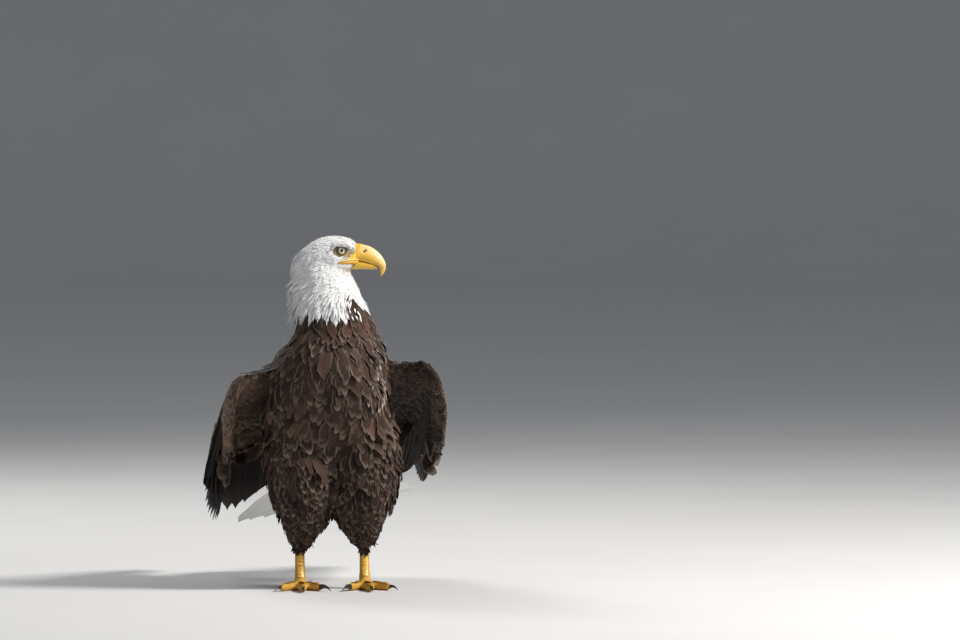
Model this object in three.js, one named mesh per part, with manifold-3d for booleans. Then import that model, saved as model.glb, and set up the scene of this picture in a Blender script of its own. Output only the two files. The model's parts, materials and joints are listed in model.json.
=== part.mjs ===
// A life-size standing bald eagle: chest to the front, head turned to its own left, wings held a
// little open and drooping behind it, tail fanned. Millimetres, +Z up, -Y the way the chest faces
// and +X the bird's left. Every piece is the outer shape of its plumage, skin or horn.
import * as THREE from "three";
import { LoftGeometry } from "three/addons/geometries/LoftGeometry.js";
import { mergeVertices } from "three/addons/utils/BufferGeometryUtils.js";
import Module from "manifold-3d";

const wasm = await Module();
wasm.setup();

// ---- Driving dimensions -------------------------------------------------------------------------
const GAP = 0.5; // clearance between neighbouring pieces
const VANE_GAP = 0.8; // clearance round the thin, sharp-edged pieces of a wing
const GRAIN = 0.1; // the finest edge a piece may have
const SMOOTHING = 0.15; // the most a cut edge may move when its slivers are cleaned away
const TURN = Math.PI / 180; // one degree

// Head: its own frame has u forward, s to the bird's left and w up, from a point between the eyes.
const HEAD_AT = [18.5, -10, 544];
const HEAD_YAW = 79; // degrees from straight ahead towards the bird's left
const EYE_RADIUS = 8.8;
const EYE_SIDE = 23.4; // from the head's midplane to an eye's centre

// Where the white plumage ends on the neck, and where the head meets the neck.
const COLLAR_HEIGHT = 428;
const NAPE_CUT = { at: [-22, -52], tilt: 17 }; // u and w of a point on the cut, degrees of slope

// Wings: the flight feathers in one, and their thickness at the root.
const SECONDARIES = 16; // with the innermost, that lie over the back
const PRIMARIES = 10;
const VANE_THICKNESS = 2.6;
const TIP_SWELL = 24; // how much the seventh and eighth primaries outrun a smooth curve of lengths

// Tail: twelve feathers in a fan.
const RECTRICES = 12;
const TAIL_ROOT = [0, 146, 196];
const TAIL_LENGTH = 276;
const TAIL_SLOPE = 19; // degrees below level
const TAIL_ROLL = 9; // degrees that its left side is higher
const TAIL_SWING = 4; // degrees round to the left
const TAIL_FAN = 30; // degrees from the middle to the outermost feather
const TAIL_THICKNESS = 3.4;

// Feet: both stand level on the ground.
const FEET = { left: [58, 17], right: [-46, 17] };
const TOE_RADIUS = 8;
const SOLE_DEPTH = 0.8; // share of a toe's radius that its axis stands above the ground
const TOES = [
  { name: "inner", swing: -34, reach: 53, claw: 24 },
  { name: "middle", swing: 2, reach: 73, claw: 19 },
  { name: "outer", swing: 40, reach: 57, claw: 16 },
  { name: "hind", swing: 176, reach: 39, claw: 26 },
];

// ---- Finishes -----------------------------------------------------------------------------------
const WHITE_PLUMAGE = { color: 0xf0efec, roughness: 0.8, metalness: 0 };
const BROWN_PLUMAGE = { color: 0x3d2f28, roughness: 0.75, metalness: 0 };
const FLIGHT_FEATHER = { color: 0x241d1b, roughness: 0.6, metalness: 0 };
const HORN = { color: 0xf0c24b, roughness: 0.35, metalness: 0 };
const FOOT_SKIN = { color: 0xe0ab2c, roughness: 0.55, metalness: 0 };
const CLAW_HORN = { color: 0x17140f, roughness: 0.3, metalness: 0 };
const EYE_GLASS = { color: 0xe6ddb0, roughness: 0.08, metalness: 0 };

// ---- Shape tools --------------------------------------------------------------------------------
const vector = ([x, y, z]) => new THREE.Vector3(x, y, z);
const mix = THREE.MathUtils.lerp;

/** The values of a table of stations at t, from 0 to 1, on one smooth curve through them all. */
function through(stations, t) {
  const last = stations.length - 1;
  const place = THREE.MathUtils.clamp(t, 0, 1) * last;
  const i = Math.min(Math.floor(place), last - 1);
  const f = place - i;
  const [a, b, c, d] = [i - 1, i, i + 1, i + 2].map((k) => stations[THREE.MathUtils.clamp(k, 0, last)]);
  return b.map((value, k) => {
    const leave = (c[k] - a[k]) / 2;
    const arrive = (d[k] - value) / 2;
    const cubic = 2 * value - 2 * c[k] + leave + arrive;
    const square = -3 * value + 3 * c[k] - 2 * leave - arrive;
    return ((cubic * f + square) * f + leave) * f + value;
  });
}

const centroid = (points) =>
  points.reduce((sum, point) => sum.add(point), new THREE.Vector3()).divideScalar(points.length);

/** A closed solid through rings of points. Each end is closed by a last ring shrunk to its centre. */
function loft(rings) {
  const shut = (ring) => ring.map(() => centroid(ring));
  const geometry = new LoftGeometry([shut(rings[0]), ...rings, shut(rings[rings.length - 1])]);
  return solid(geometry.attributes.position, geometry.index);
}

/** A solid from a surface's corners and faces, less the faces that have no area, turned to face out. */
function solid(position, index) {
  const surface = new THREE.BufferGeometry().setAttribute("position", position).setIndex(index);
  const merged = mergeVertices(surface, 1e-3);
  const faces = [];
  for (let i = 0; i < merged.index.count; i += 3) {
    const [a, b, c] = [0, 1, 2].map((k) => merged.index.getX(i + k));
    if (a !== b && b !== c && a !== c) faces.push(a, b, c);
  }
  const vertProperties = merged.attributes.position.array;
  const made = (order) =>
    new wasm.Manifold(new wasm.Mesh({ numProp: 3, vertProperties, triVerts: new Uint32Array(order) }));
  const first = made(faces);
  return first.volume() > 0 ? first : made(faces.reverse());
}

/** The same shape swollen all round by the clearance its neighbours leave. */
function grown(shape) {
  const geometry = surfaceOf(shape);
  geometry.computeVertexNormals();
  const { position, normal } = geometry.attributes;
  for (let i = 0; i < position.count; i++) {
    const moved = new THREE.Vector3().fromBufferAttribute(normal, i).multiplyScalar(GAP);
    moved.add(new THREE.Vector3().fromBufferAttribute(position, i));
    position.setXYZ(i, moved.x, moved.y, moved.z);
  }
  return solid(position, geometry.index).add(shape);
}

function surfaceOf(shape) {
  const { numProp, vertProperties, triVerts } = shape.getMesh();
  const position = new Float32Array((vertProperties.length / numProp) * 3);
  for (let i = 0; i < position.length / 3; i++)
    position.set(vertProperties.subarray(i * numProp, i * numProp + 3), i * 3);
  return new THREE.BufferGeometry()
    .setAttribute("position", new THREE.BufferAttribute(position, 3))
    .setIndex(new THREE.BufferAttribute(triVerts, 1));
}

/** One section: an oval about centre, with its own reach to the front and to the back. */
function oval(centre, side, depth, halfWidth, front, back, corners, fullness = 2) {
  const bend = (value) => Math.sign(value) * Math.abs(value) ** (2 / fullness);
  return Array.from({ length: corners }, (_, k) => {
    const angle = (k / corners) * 2 * Math.PI;
    const along = bend(Math.sin(angle));
    return centre
      .clone()
      .addScaledVector(side, bend(Math.cos(angle)) * halfWidth)
      .addScaledVector(depth, along * (along > 0 ? back : front));
  });
}

/** A round body along a spine. Stations hold x, y, z, half-width, reach to the front and to the back. */
function body(stations, { sections, corners, fullness = 2, side = [1, 0, 0] }) {
  const rings = [];
  for (let i = 0; i <= sections; i++) {
    const t = i / sections;
    const [x, y, z, halfWidth, front, back] = through(stations, t);
    const before = vector(through(stations, t - 0.06));
    const after = vector(through(stations, t + 0.06));
    const along = after.sub(before).normalize();
    const depth = along.clone().cross(vector(side)).normalize().negate();
    const across = depth.clone().cross(along).normalize();
    if (depth.y < 0) depth.negate();
    rings.push(oval(vector([x, y, z]), across, depth, halfWidth, front, back, corners, fullness));
  }
  return loft(rings);
}

/** Keeps the part of a solid that lies on the side of a plane its normal points to. */
const keep = (shape, normal, point, offset) =>
  shape.trimByPlane(normal.toArray(), normal.dot(point) + offset);

const root = new THREE.Group();

/** The largest of the bodies a cut leaves. */
const biggest = (shape) =>
  shape.decompose().reduce((best, one) => (one.volume() > best.volume() ? one : best));

/** The same shape with no edge finer than the grain: its corners lie on a lattice of that size. */
function snapped(shape) {
  const { attributes, index } = surfaceOf(shape);
  const { array } = attributes.position;
  array.forEach((value, i) => {
    array[i] = Math.round(value / GRAIN) * GRAIN;
  });
  return solid(attributes.position, index);
}

/** Adds a shape to the model as one named piece, cleaned of slivers and crumbs. */
function add(name, shape, finish) {
  const clean = biggest(snapped(biggest(shape).simplify(SMOOTHING)).simplify(SMOOTHING / 4));
  const mesh = new THREE.Mesh(surfaceOf(clean), new THREE.MeshStandardMaterial(finish));
  mesh.name = name;
  root.add(mesh);
}

// ---- Head frame ---------------------------------------------------------------------------------
const yaw = HEAD_YAW * TURN;
const HEAD_FORWARD = new THREE.Vector3(Math.sin(yaw), -Math.cos(yaw), 0);
const HEAD_LEFT = new THREE.Vector3(Math.cos(yaw), Math.sin(yaw), 0);
const HEAD_UP = new THREE.Vector3(0, 0, 1);
const inHead = (u, s, w) =>
  vector(HEAD_AT)
    .addScaledVector(HEAD_FORWARD, u)
    .addScaledVector(HEAD_LEFT, s)
    .addScaledVector(HEAD_UP, w);

// ---- Trunk, neck and head -----------------------------------------------------------------------
// x, y, z, half-width, front, back: from the rump up over the back and along the neck into the head.
const TORSO = [
  [0, 186, 178, 24, 10, 10],
  [0, 156, 192, 52, 32, 22],
  [0, 112, 214, 84, 64, 42],
  [0, 68, 246, 106, 92, 64],
  [0, 32, 290, 115, 104, 82],
  [2, 10, 334, 110, 100, 89],
  [4, 0, 376, 94, 86, 81],
  [5, -6, 411, 76, 68, 66],
  [1, -9, 440, 66, 56, 56],
  [-8, -9, 467, 59, 49, 51],
  [-15, -6, 493, 53, 45, 47],
  [-20, -5, 516, 43, 38, 39],
  [-22, -5, 532, 30, 30, 30],
];
// u, top, bottom, half-width of the head, from the nape to the forehead.
const SKULL = [
  [-84.5, -22, -42, 11],
  [-78, -8, -52, 23],
  [-66, 6, -60, 32],
  [-46, 18.6, -62, 36],
  [-22, 24.6, -58, 36],
  [-2, 23.4, -46, 33],
  [13, 19.4, -35, 26.5],
  [24, 11.4, -30, 18],
  [29, 5, -26, 12],
];

function skull() {
  const sections = 12;
  const rings = [];
  for (let i = 0; i <= sections; i++) {
    const [u, top, bottom, halfWidth] = through(SKULL, i / sections);
    const middle = mix(bottom, top, 0.55);
    rings.push(oval(inHead(u, 0, middle), HEAD_LEFT, HEAD_UP, halfWidth, middle - bottom, top - middle, 16, 2.15));
  }
  return loft(rings);
}

/** An ellipsoid lying along the head, tipped nose down by degrees. */
function headBall([u, s, w], [long, wide, high], tip, rings) {
  const ball = new THREE.SphereGeometry(1, 2 * rings, rings).rotateX(Math.PI / 2);
  const axes = [HEAD_FORWARD, HEAD_LEFT, HEAD_UP].map((axis) => axis.clone().applyAxisAngle(HEAD_LEFT, tip * TURN));
  const place = new THREE.Matrix4()
    .makeBasis(...axes.map((axis, k) => axis.multiplyScalar([long, wide, high][k])))
    .setPosition(inHead(u, s, w));
  ball.applyMatrix4(place);
  return solid(ball.attributes.position, ball.index);
}

const socket = (side) => headBall([5, side * 39, -1.5], [19, 11.5, 10.5], 10, 4);
const brow = (side) => headBall([4, side * 26.2, 9.6], [16, 5.4, 3.2], 13, 4);

const torsoParts = [body(TORSO, { sections: 17, corners: 16 }), skull(), brow(1), brow(-1)];
const torso = wasm.Manifold.union(torsoParts);
const torsoGrown = wasm.Manifold.union(torsoParts.map((part) => grown(part)));

// ---- Bill ---------------------------------------------------------------------------------------
// u and w of the ridge, u and w of the cutting edge, half-width: from the cere to the hook's tip.
const UPPER_BILL = [
  [21, 10.2, 6, -17.5, 15.5],
  [30, 9.6, 19, -17.6, 14.6],
  [42, 7.2, 34, -19.4, 12.4],
  [54, 0.6, 46.5, -22.6, 10.4],
  [63.5, -8.6, 55, -25.4, 8.2],
  [69.2, -19, 59.8, -27.4, 6],
  [70.2, -28, 61.2, -30.6, 4.3],
  [67.4, -36, 61.8, -35.6, 2.7],
  [62.6, -41.6, 61, -40.4, 0.9],
];
// u, top, bottom, half-width of the lower bill.
const LOWER_BILL = [
  [4, -15, -31, 13],
  [20, -15, -30.6, 12.2],
  [34, -17, -30, 10.4],
  [47, -20, -30.4, 8],
  [55.5, -24, -30.4, 5],
  [58.6, -27.4, -29.4, 2.4],
];

function upperBill() {
  const sections = 13;
  const corners = 12;
  const rings = [];
  for (let i = 0; i <= sections; i++) {
    const [topU, topW, edgeU, edgeW, halfWidth] = through(UPPER_BILL, i / sections);
    const ridge = inHead(topU, 0, topW);
    const edge = inHead(edgeU, 0, edgeW);
    const ring = Array.from({ length: corners }, (_, k) => {
      const angle = (k / corners) * 2 * Math.PI;
      const height = 0.5 + 0.5 * Math.sin(angle);
      const swell = Math.abs(Math.cos(angle)) ** 0.8 * (1.06 - 0.42 * height * height);
      return edge
        .clone()
        .lerp(ridge, height)
        .addScaledVector(HEAD_LEFT, Math.sign(Math.cos(angle)) * swell * halfWidth);
    });
    rings.push(ring);
  }
  return loft(rings);
}

function lowerBill() {
  const sections = 6;
  const rings = [];
  for (let i = 0; i <= sections; i++) {
    const [u, top, bottom, halfWidth] = through(LOWER_BILL, i / sections);
    const middle = (top + bottom) / 2;
    rings.push(
      oval(inHead(u, 0, middle), HEAD_LEFT, HEAD_UP, halfWidth, middle - bottom, top - middle, 10, 2.5),
    );
  }
  return loft(rings);
}

const EYES = { left: 1, right: -1 };

const eyeball = (side) => headBall([0, side * EYE_SIDE, 0], [EYE_RADIUS, EYE_RADIUS, EYE_RADIUS], 0, 6);

const upper = upperBill();
const lower = lowerBill();
const beak = grown(upper).add(grown(lower));
const eyes = Object.entries(EYES).map(([name, side]) => [name, eyeball(side)]);
const hollows = wasm.Manifold.union([beak, socket(1), socket(-1), ...eyes.map(([, ball]) => grown(ball))]);
const bareTorso = torso.subtract(hollows);

const napeNormal = HEAD_UP.clone().applyAxisAngle(HEAD_LEFT, NAPE_CUT.tilt * TURN);
const napePoint = inHead(NAPE_CUT.at[0], 0, NAPE_CUT.at[1]);
const collarNormal = new THREE.Vector3(0, -0.1, 1).normalize();
const collarPoint = new THREE.Vector3(0, 0, COLLAR_HEIGHT);

add("head", keep(bareTorso, napeNormal, napePoint, GAP / 2), WHITE_PLUMAGE);
const belowHead = keep(bareTorso, napeNormal.clone().negate(), napePoint, GAP / 2);
add("neck", keep(belowHead, collarNormal, collarPoint, GAP / 2), WHITE_PLUMAGE);
add("trunk", keep(belowHead, collarNormal.clone().negate(), collarPoint, GAP / 2), BROWN_PLUMAGE);
add("upper_bill", upper, HORN);
add("lower_bill", lower.subtract(grown(upper)), HORN);
for (const [name, ball] of eyes) add(`${name}_eye`, ball, EYE_GLASS);

// ---- Wings --------------------------------------------------------------------------------------
// Rank runs along a wing: -0.5 in the back, 0 at the elbow, 1 at the wrist and 2 at the hand's tip.
const wingShare = (rank) => (rank + 0.5) / 2.5;
// Each table has a row for every half rank, with x outwards from the bird's middle.
// Edge: x, y, z of the leading edge. Run: a flight feather's root, its direction and its length.
// Hand lift levels the inner primaries, so that the folded fan's shafts don't cross.
// The left wing is the more open, and shows its underside in front. The right droops closer in.
const WINGS = {
  left: {
    mirror: 1,
    handLift: 0.19,
    edge: [
      [56, 26, 368],
      [96, -2, 360],
      [130, -26, 361],
      [158, -38, 361],
      [184, -14, 294],
      [184, 52, 226],
    ],
    run: [
      [44, 98, 338, -0.08, 0.8, -0.6, 165],
      [114, 130, 308, -0.08, 0.83, -0.55, 240],
      [145, 60, 324, -0.01, 0.82, -0.58, 274],
      [160, -14, 338, 0.01, 0.87, -0.5, 320],
      [173, 26, 282, 0.04, 0.95, -0.315, 428],
      [182, 66, 226, 0.05, 0.975, -0.215, 385],
    ],
  },
  right: {
    mirror: -1,
    handLift: 0.11,
    edge: [
      [56, 26, 364],
      [92, -2, 348],
      [123, -26, 344],
      [145, -38, 340],
      [158, -2, 280],
      [154, 56, 222],
    ],
    run: [
      [44, 98, 338, -0.06, 0.72, -0.69, 175],
      [122, 130, 304, 0, 0.68, -0.73, 262],
      [158, 60, 312, 0.07, 0.8, -0.6, 276],
      [160, -14, 320, 0.05, 0.86, -0.51, 318],
      [158, 26, 268, 0.005, 0.93, -0.4, 428],
      [152, 66, 218, -0.02, 0.935, -0.345, 385],
    ],
  },
};

/** Root, direction and length of one flight feather. */
function flightFeather(rank, { mirror, run }) {
  const [x, y, z, outward, back, up, reach] = through(run, wingShare(rank));
  const at = new THREE.Vector3(x * mirror, y, z);
  const along = new THREE.Vector3(outward * mirror, back, up).normalize();
  const tip = rank > 1 ? TIP_SWELL * Math.sin(Math.PI * (rank - 1) ** 2) : 0;
  return { at, along, length: reach + tip };
}

/** A primary, levelled the more the nearer it is to the wrist. */
function primary(rank, side) {
  const feather = flightFeather(rank, side);
  feather.along.z += side.handLift * (2 - rank) ** 2;
  feather.along.normalize();
  return feather;
}

function leadingEdge(rank, { mirror, edge }) {
  const [x, y, z] = through(edge, wingShare(rank));
  return new THREE.Vector3(x * mirror, y, z);
}

// Stretches of wing, by rank.
const ARM_STRETCH = { from: -0.5, to: 1, sections: 9 };
const HAND_STRETCH = { from: 1, to: 2, sections: 6 };
// Half-thickness of the plumage from the leading edge back to the coverts' ends.
const COVERT_PROFILE = [0, 0.75, 1, 0.96, 0.74, 0.5, 0.32];

function covertSection(rank, side, extra) {
  const edge = leadingEdge(rank, side);
  const feather = flightFeather(rank, side);
  const share = wingShare(rank);
  const thickness = mix(25, 8.5, share ** 0.6);
  const end = feather.at.clone().addScaledVector(feather.along, feather.length * mix(0.52, 0.3, share));
  const spanwise = leadingEdge(rank + 0.02, side).sub(leadingEdge(rank - 0.02, side));
  const chord = end.clone().sub(edge);
  const out = chord.clone().cross(spanwise).normalize();
  const bow = new THREE.QuadraticBezierCurve3(edge, feather.at.clone().addScaledVector(out, side.mirror * -4), end);
  const steps = COVERT_PROFILE.length - 1;
  const top = [];
  const bottom = [];
  const back = chord.clone().normalize();
  COVERT_PROFILE.forEach((fullness, k) => {
    const at = bow.getPoint((k / steps) ** 1.3);
    if (k === 0) at.addScaledVector(back, -thickness * 0.75 - extra);
    if (k === steps) at.addScaledVector(back, extra);
    const half = fullness * thickness + (k > 0 ? extra : 0);
    top.push(at.clone().addScaledVector(out, half));
    if (k > 0) bottom.unshift(at.clone().addScaledVector(out, -half));
  });
  return [...top, ...bottom];
}

/** The plumage of a stretch of wing, in front of the bare flight feathers, thicker all round by extra. */
function coverts(side, { from, to, sections }, extra = 0) {
  const ranks = Array.from({ length: sections + 1 }, (_, i) => mix(from, to, i / sections));
  return loft(ranks.map((rank) => covertSection(rank, side, extra)));
}

/** A feather's two neighbours share a column between them, shorter by a notch. */
function between(feather, next, notch) {
  return {
    at: feather.at.clone().lerp(next.at, 0.5),
    along: feather.along.clone().lerp(next.along, 0.5).normalize(),
    length: Math.min(feather.length, next.length) - notch,
  };
}

/**
 * A fan of overlapping vanes as one thin body. The first and last feathers stand out past their
 * shafts by the two rims. Thickness is a function of the share of the length, with extra all round.
 */
function vanes(feathers, { rims, notch, thickness, rows, across, extra = 0 }) {
  const rim = (feather, width) => ({
    ...feather,
    at: feather.at.clone().addScaledVector(across(feather), width),
    length: feather.length - notch * 1.6,
  });
  const columns = rims[0] ? [rim(feathers[0], -rims[0])] : [];
  feathers.forEach((feather, i) => {
    columns.push(feather);
    if (i < feathers.length - 1) columns.push(between(feather, feathers[i + 1], notch));
  });
  if (rims[1] + extra) columns.push(rim(feathers[feathers.length - 1], rims[1] + extra));
  const rings = columns.map(({ at, along, length }, i) => {
    const before = columns[Math.max(i - 1, 0)];
    const after = columns[Math.min(i + 1, columns.length - 1)];
    const out = after.at.clone().sub(before.at).cross(along).normalize();
    const face = (turn) =>
      Array.from({ length: rows + 1 }, (_, k) =>
        at
          .clone()
          .addScaledVector(along, (length * k) / rows)
          .addScaledVector(out, turn * (thickness(k / rows) / 2 + extra)),
      );
    return [...face(1), ...face(-1).reverse()];
  });
  return loft(rings);
}

const wingVane = (t) => VANE_THICKNESS * (1 - 0.5 * t);

/** Outwards across a wing feather, square to its length. */
function acrossWing({ at, along }) {
  const outward = new THREE.Vector3(Math.sign(at.x), 0, -0.8);
  return outward.addScaledVector(along, -outward.dot(along)).normalize();
}

for (const [name, side] of Object.entries(WINGS)) {
  const arm = coverts(side, ARM_STRETCH);
  const hand = coverts(side, HAND_STRETCH);
  const armRoom = grown(coverts(side, ARM_STRETCH, VANE_GAP));
  const handRoom = grown(coverts(side, HAND_STRETCH, VANE_GAP));
  add(`${name}_wing_arm`, arm.subtract(torsoGrown), BROWN_PLUMAGE);
  add(`${name}_wing_hand`, hand.subtract(armRoom), BROWN_PLUMAGE);

  const fan = (shaft, count, [from, to], sizes) => {
    const feathers = Array.from({ length: count }, (_, i) => shaft(mix(from, to, i / (count - 1)), side));
    return vanes(feathers, { thickness: wingVane, across: acrossWing, rows: 1, ...sizes });
  };
  const inner = { rims: [14, 0], notch: 8 };
  const outer = { rims: [0, 5], notch: 12 };
  const secondaries = fan(flightFeather, SECONDARIES, [-0.42, 0.94], inner);
  const secondariesRoom = grown(fan(flightFeather, SECONDARIES, [-0.42, 0.94], { ...inner, extra: VANE_GAP }));
  const primaries = fan(primary, PRIMARIES, [1.11, 2], outer);
  const clear = armRoom.add(handRoom).add(torsoGrown);
  add(`${name}_secondaries`, secondaries.subtract(clear), FLIGHT_FEATHER);
  add(`${name}_primaries`, primaries.subtract(clear).subtract(secondariesRoom), FLIGHT_FEATHER);
}

// ---- Tail ---------------------------------------------------------------------------------------
function tailFeather(i) {
  const share = (i / (RECTRICES - 1)) * 2 - 1;
  const swing = (share * TAIL_FAN + TAIL_SWING) * TURN;
  const along = new THREE.Vector3(Math.sin(swing), Math.cos(swing), -0.05 * share * share);
  const at = new THREE.Vector3(share * 20, 0, -3 * share * share);
  for (const part of [at, along]) {
    part.applyAxisAngle(new THREE.Vector3(1, 0, 0), -TAIL_SLOPE * TURN);
    part.applyAxisAngle(new THREE.Vector3(0, 1, 0), -TAIL_ROLL * TURN);
  }
  return { at: at.add(vector(TAIL_ROOT)), along: along.normalize(), length: TAIL_LENGTH * (1 - 0.07 * share ** 2) };
}
const rectrices = Array.from({ length: RECTRICES }, (_, i) => tailFeather(i));
const tail = vanes(rectrices, {
  rims: [9, 9],
  notch: 6,
  rows: 2,
  thickness: (t) => TAIL_THICKNESS * (1 - 0.5 * t) + 26 * Math.max(0, 1 - t / 0.42) ** 1.4,
  across: () => new THREE.Vector3(1, 0, 0),
});
add("tail", tail.subtract(torsoGrown), WHITE_PLUMAGE);

// ---- Legs ---------------------------------------------------------------------------------------
// Offset from the foot in x and y, height, half-width, front, back: hip down to the end of the trousers.
const TROUSERS = [
  [10, 30, 276, 34, 44, 40],
  [8, 8, 238, 53, 64, 52],
  [3, -6, 196, 58, 62, 52],
  [-3, -7, 156, 54, 52, 46],
  [-6, 1, 122, 47, 42, 40],
  [-2, 7, 92, 33, 32, 31],
  [0, 11, 68, 20, 21, 21],
];
// Offset from the foot, height and radii of the bare shank.
const SHANK = [
  [0, 14, 92, 9, 10, 10],
  [0, 10, 62, 8.4, 9.4, 9.4],
  [0, 6, 36, 8.4, 9.6, 9.4],
  [0, 2, 18, 9.6, 12, 11],
  [0, 1, 9, 10.4, 13, 12],
];

function legPart(table, foot, mirror, options) {
  const [x, y] = foot;
  return body(table.map(([dx, dy, ...rest]) => [x + dx * mirror, y + dy, ...rest]), options);
}

/** A toe along the ground from the foot's centre, with pads, cut flat where it stands. */
function toe(foot, mirror, { swing, reach }) {
  const angle = swing * TURN * mirror;
  const along = new THREE.Vector3(Math.sin(angle), -Math.cos(angle), 0);
  const side = new THREE.Vector3(-along.y, along.x, 0);
  const pads = [1.06, 0.86, 1.02, 0.84, 0.96, 0.55];
  const rings = pads.map((pad, k) => {
    const t = k / (pads.length - 1);
    const radius = TOE_RADIUS * pad * (1 - 0.12 * t);
    const centre = new THREE.Vector3(foot[0], foot[1], TOE_RADIUS * SOLE_DEPTH * (1 - 0.1 * t))
      .addScaledVector(along, mix(3, reach, t));
    return oval(centre, side, new THREE.Vector3(0, 0, 1), radius, radius, radius * 1.08, 8);
  });
  return keep(loft(rings), new THREE.Vector3(0, 0, 1), new THREE.Vector3(), 0);
}

/** A claw that arches forward from the end of its toe and comes down just above the ground. */
function claw(foot, mirror, { swing, reach, claw: bend }) {
  const angle = swing * TURN * mirror;
  const along = new THREE.Vector3(Math.sin(angle), -Math.cos(angle), 0);
  const side = new THREE.Vector3(-along.y, along.x, 0);
  const rise = 24 * TURN;
  const startHeight = TOE_RADIUS * SOLE_DEPTH * 0.9;
  const fall = Math.acos(1 - (startHeight + bend * (1 - Math.cos(rise)) - 1.1) / bend);
  const sections = 4;
  const rings = [];
  for (let k = 0; k <= sections; k++) {
    const t = k / sections;
    const heading = mix(rise, -fall, t);
    const ahead = bend * (Math.sin(rise) - Math.sin(heading));
    const height = startHeight + bend * (Math.cos(heading) - Math.cos(rise));
    const centre = new THREE.Vector3(foot[0], foot[1], height).addScaledVector(along, reach - 3 + ahead);
    const normal = along.clone().multiplyScalar(-Math.sin(heading));
    normal.z = Math.cos(heading);
    const radius = mix(bend * 0.2, 0.7, t ** 1.15);
    rings.push(oval(centre, side, normal, radius * 0.8, radius, radius, 6));
  }
  return loft(rings);
}

// The trousers meet under the belly, the second cut back from the first.
let bellyRoom = torsoGrown;
for (const [name, foot] of Object.entries(FEET)) {
  const { mirror } = WINGS[name];
  const trousers = legPart(TROUSERS, foot, mirror, { sections: 8, corners: 14 });
  const shank = legPart(SHANK, foot, mirror, { sections: 5, corners: 10 });
  add(`${name}_thigh`, trousers.subtract(bellyRoom), BROWN_PLUMAGE);
  bellyRoom = bellyRoom.add(grown(trousers));
  add(`${name}_shank`, shank.subtract(grown(trousers)), FOOT_SKIN);
  let taken = grown(shank);
  for (const one of TOES) {
    const whole = toe(foot, mirror, one);
    const room = grown(whole);
    add(`${name}_${one.name}_toe`, whole.subtract(taken), FOOT_SKIN);
    add(`${name}_${one.name}_claw`, claw(foot, mirror, one).subtract(room), CLAW_HORN);
    taken = taken.add(room);
  }
}

// ---- Origin at the middle of the ground under the whole bird ------------------------------------
const bounds = new THREE.Box3().setFromObject(root);
const middle = bounds.getCenter(new THREE.Vector3());
root.position.set(-middle.x, -middle.y, -bounds.min.z);

export default root;
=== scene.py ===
import json
import math
from contextlib import contextmanager

import bpy
import numpy as np
from mathutils import Matrix, Vector
from mathutils.bvhtree import BVHTree
from mathutils.kdtree import KDTree

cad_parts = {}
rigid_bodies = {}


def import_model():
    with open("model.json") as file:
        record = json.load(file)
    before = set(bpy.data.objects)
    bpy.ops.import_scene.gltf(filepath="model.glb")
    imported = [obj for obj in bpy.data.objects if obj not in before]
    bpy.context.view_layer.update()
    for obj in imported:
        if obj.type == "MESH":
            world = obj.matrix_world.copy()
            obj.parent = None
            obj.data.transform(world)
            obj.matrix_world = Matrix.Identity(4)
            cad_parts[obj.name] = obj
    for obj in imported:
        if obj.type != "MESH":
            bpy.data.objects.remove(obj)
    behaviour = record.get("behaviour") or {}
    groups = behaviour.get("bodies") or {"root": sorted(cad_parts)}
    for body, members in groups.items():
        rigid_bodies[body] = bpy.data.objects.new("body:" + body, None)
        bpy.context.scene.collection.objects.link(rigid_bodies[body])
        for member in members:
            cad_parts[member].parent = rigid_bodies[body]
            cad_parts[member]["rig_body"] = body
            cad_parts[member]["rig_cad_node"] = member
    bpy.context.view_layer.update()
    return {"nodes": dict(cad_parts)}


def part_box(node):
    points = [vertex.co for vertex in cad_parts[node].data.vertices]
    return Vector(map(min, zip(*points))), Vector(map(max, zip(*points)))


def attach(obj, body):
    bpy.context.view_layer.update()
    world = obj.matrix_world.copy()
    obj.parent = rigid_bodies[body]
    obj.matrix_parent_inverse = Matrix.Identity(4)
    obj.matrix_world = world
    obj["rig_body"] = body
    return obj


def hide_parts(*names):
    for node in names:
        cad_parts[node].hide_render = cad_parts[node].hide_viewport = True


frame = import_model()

bl_info = {
    "name": "Standing Bald Eagle",
    "version": (1, 0, 0),
    "blender": (4, 5, 0),
    "location": "View3D > Sidebar > Eagle",
    "description": "Plumage, bill, eyes and feet of a life-size bald eagle over its solid body",
    "category": "Object",
}

MM = 0.001

# ---- Where things are ---------------------------------------------------------------------------
# Tables are in millimetres from the bird's own origin: +Z up, -Y the way the chest faces, +X its left.


def middle(node):
    """The middle of a solid's box, in metres."""
    low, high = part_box(node)
    return np.array((low + high) / 2)


HEAD_AT = np.array([18.5, -10.0, 544.0])
HEAD = (middle("left_eye") + middle("right_eye")) / 2
SHIFT = HEAD - HEAD_AT * MM
YAW = math.radians(79)
FORWARD = np.array([math.sin(YAW), -math.cos(YAW), 0.0])
LEFT = np.array([math.cos(YAW), math.sin(YAW), 0.0])
UP = np.array([0.0, 0.0, 1.0])
EYE_RADIUS = 8.8
EYE_SIDE = 23.4
EYE_U = 0.6


def placed(points):
    """Millimetres in the bird's frame to metres in the scene."""
    return np.asarray(points, float) * MM + SHIFT


def in_bird(points):
    """Metres in the scene to millimetres in the bird's frame."""
    return (np.asarray(points, float) - SHIFT) / MM


def in_head(u, s, w):
    """A point of the head, u forward, s to the bird's left and w up from between the eyes, in metres."""
    u, s, w = (np.asarray(v, float)[..., None] for v in (u, s, w))
    return HEAD + MM * (u * FORWARD + s * LEFT + w * UP)


def to_head(points):
    """The u, s and w of points given in metres."""
    away = (np.asarray(points, float) - HEAD) / MM
    return away @ FORWARD, away @ LEFT, away @ UP


def unit(v):
    return v / np.maximum(np.linalg.norm(v, axis=-1, keepdims=True), 1e-12)


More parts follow.
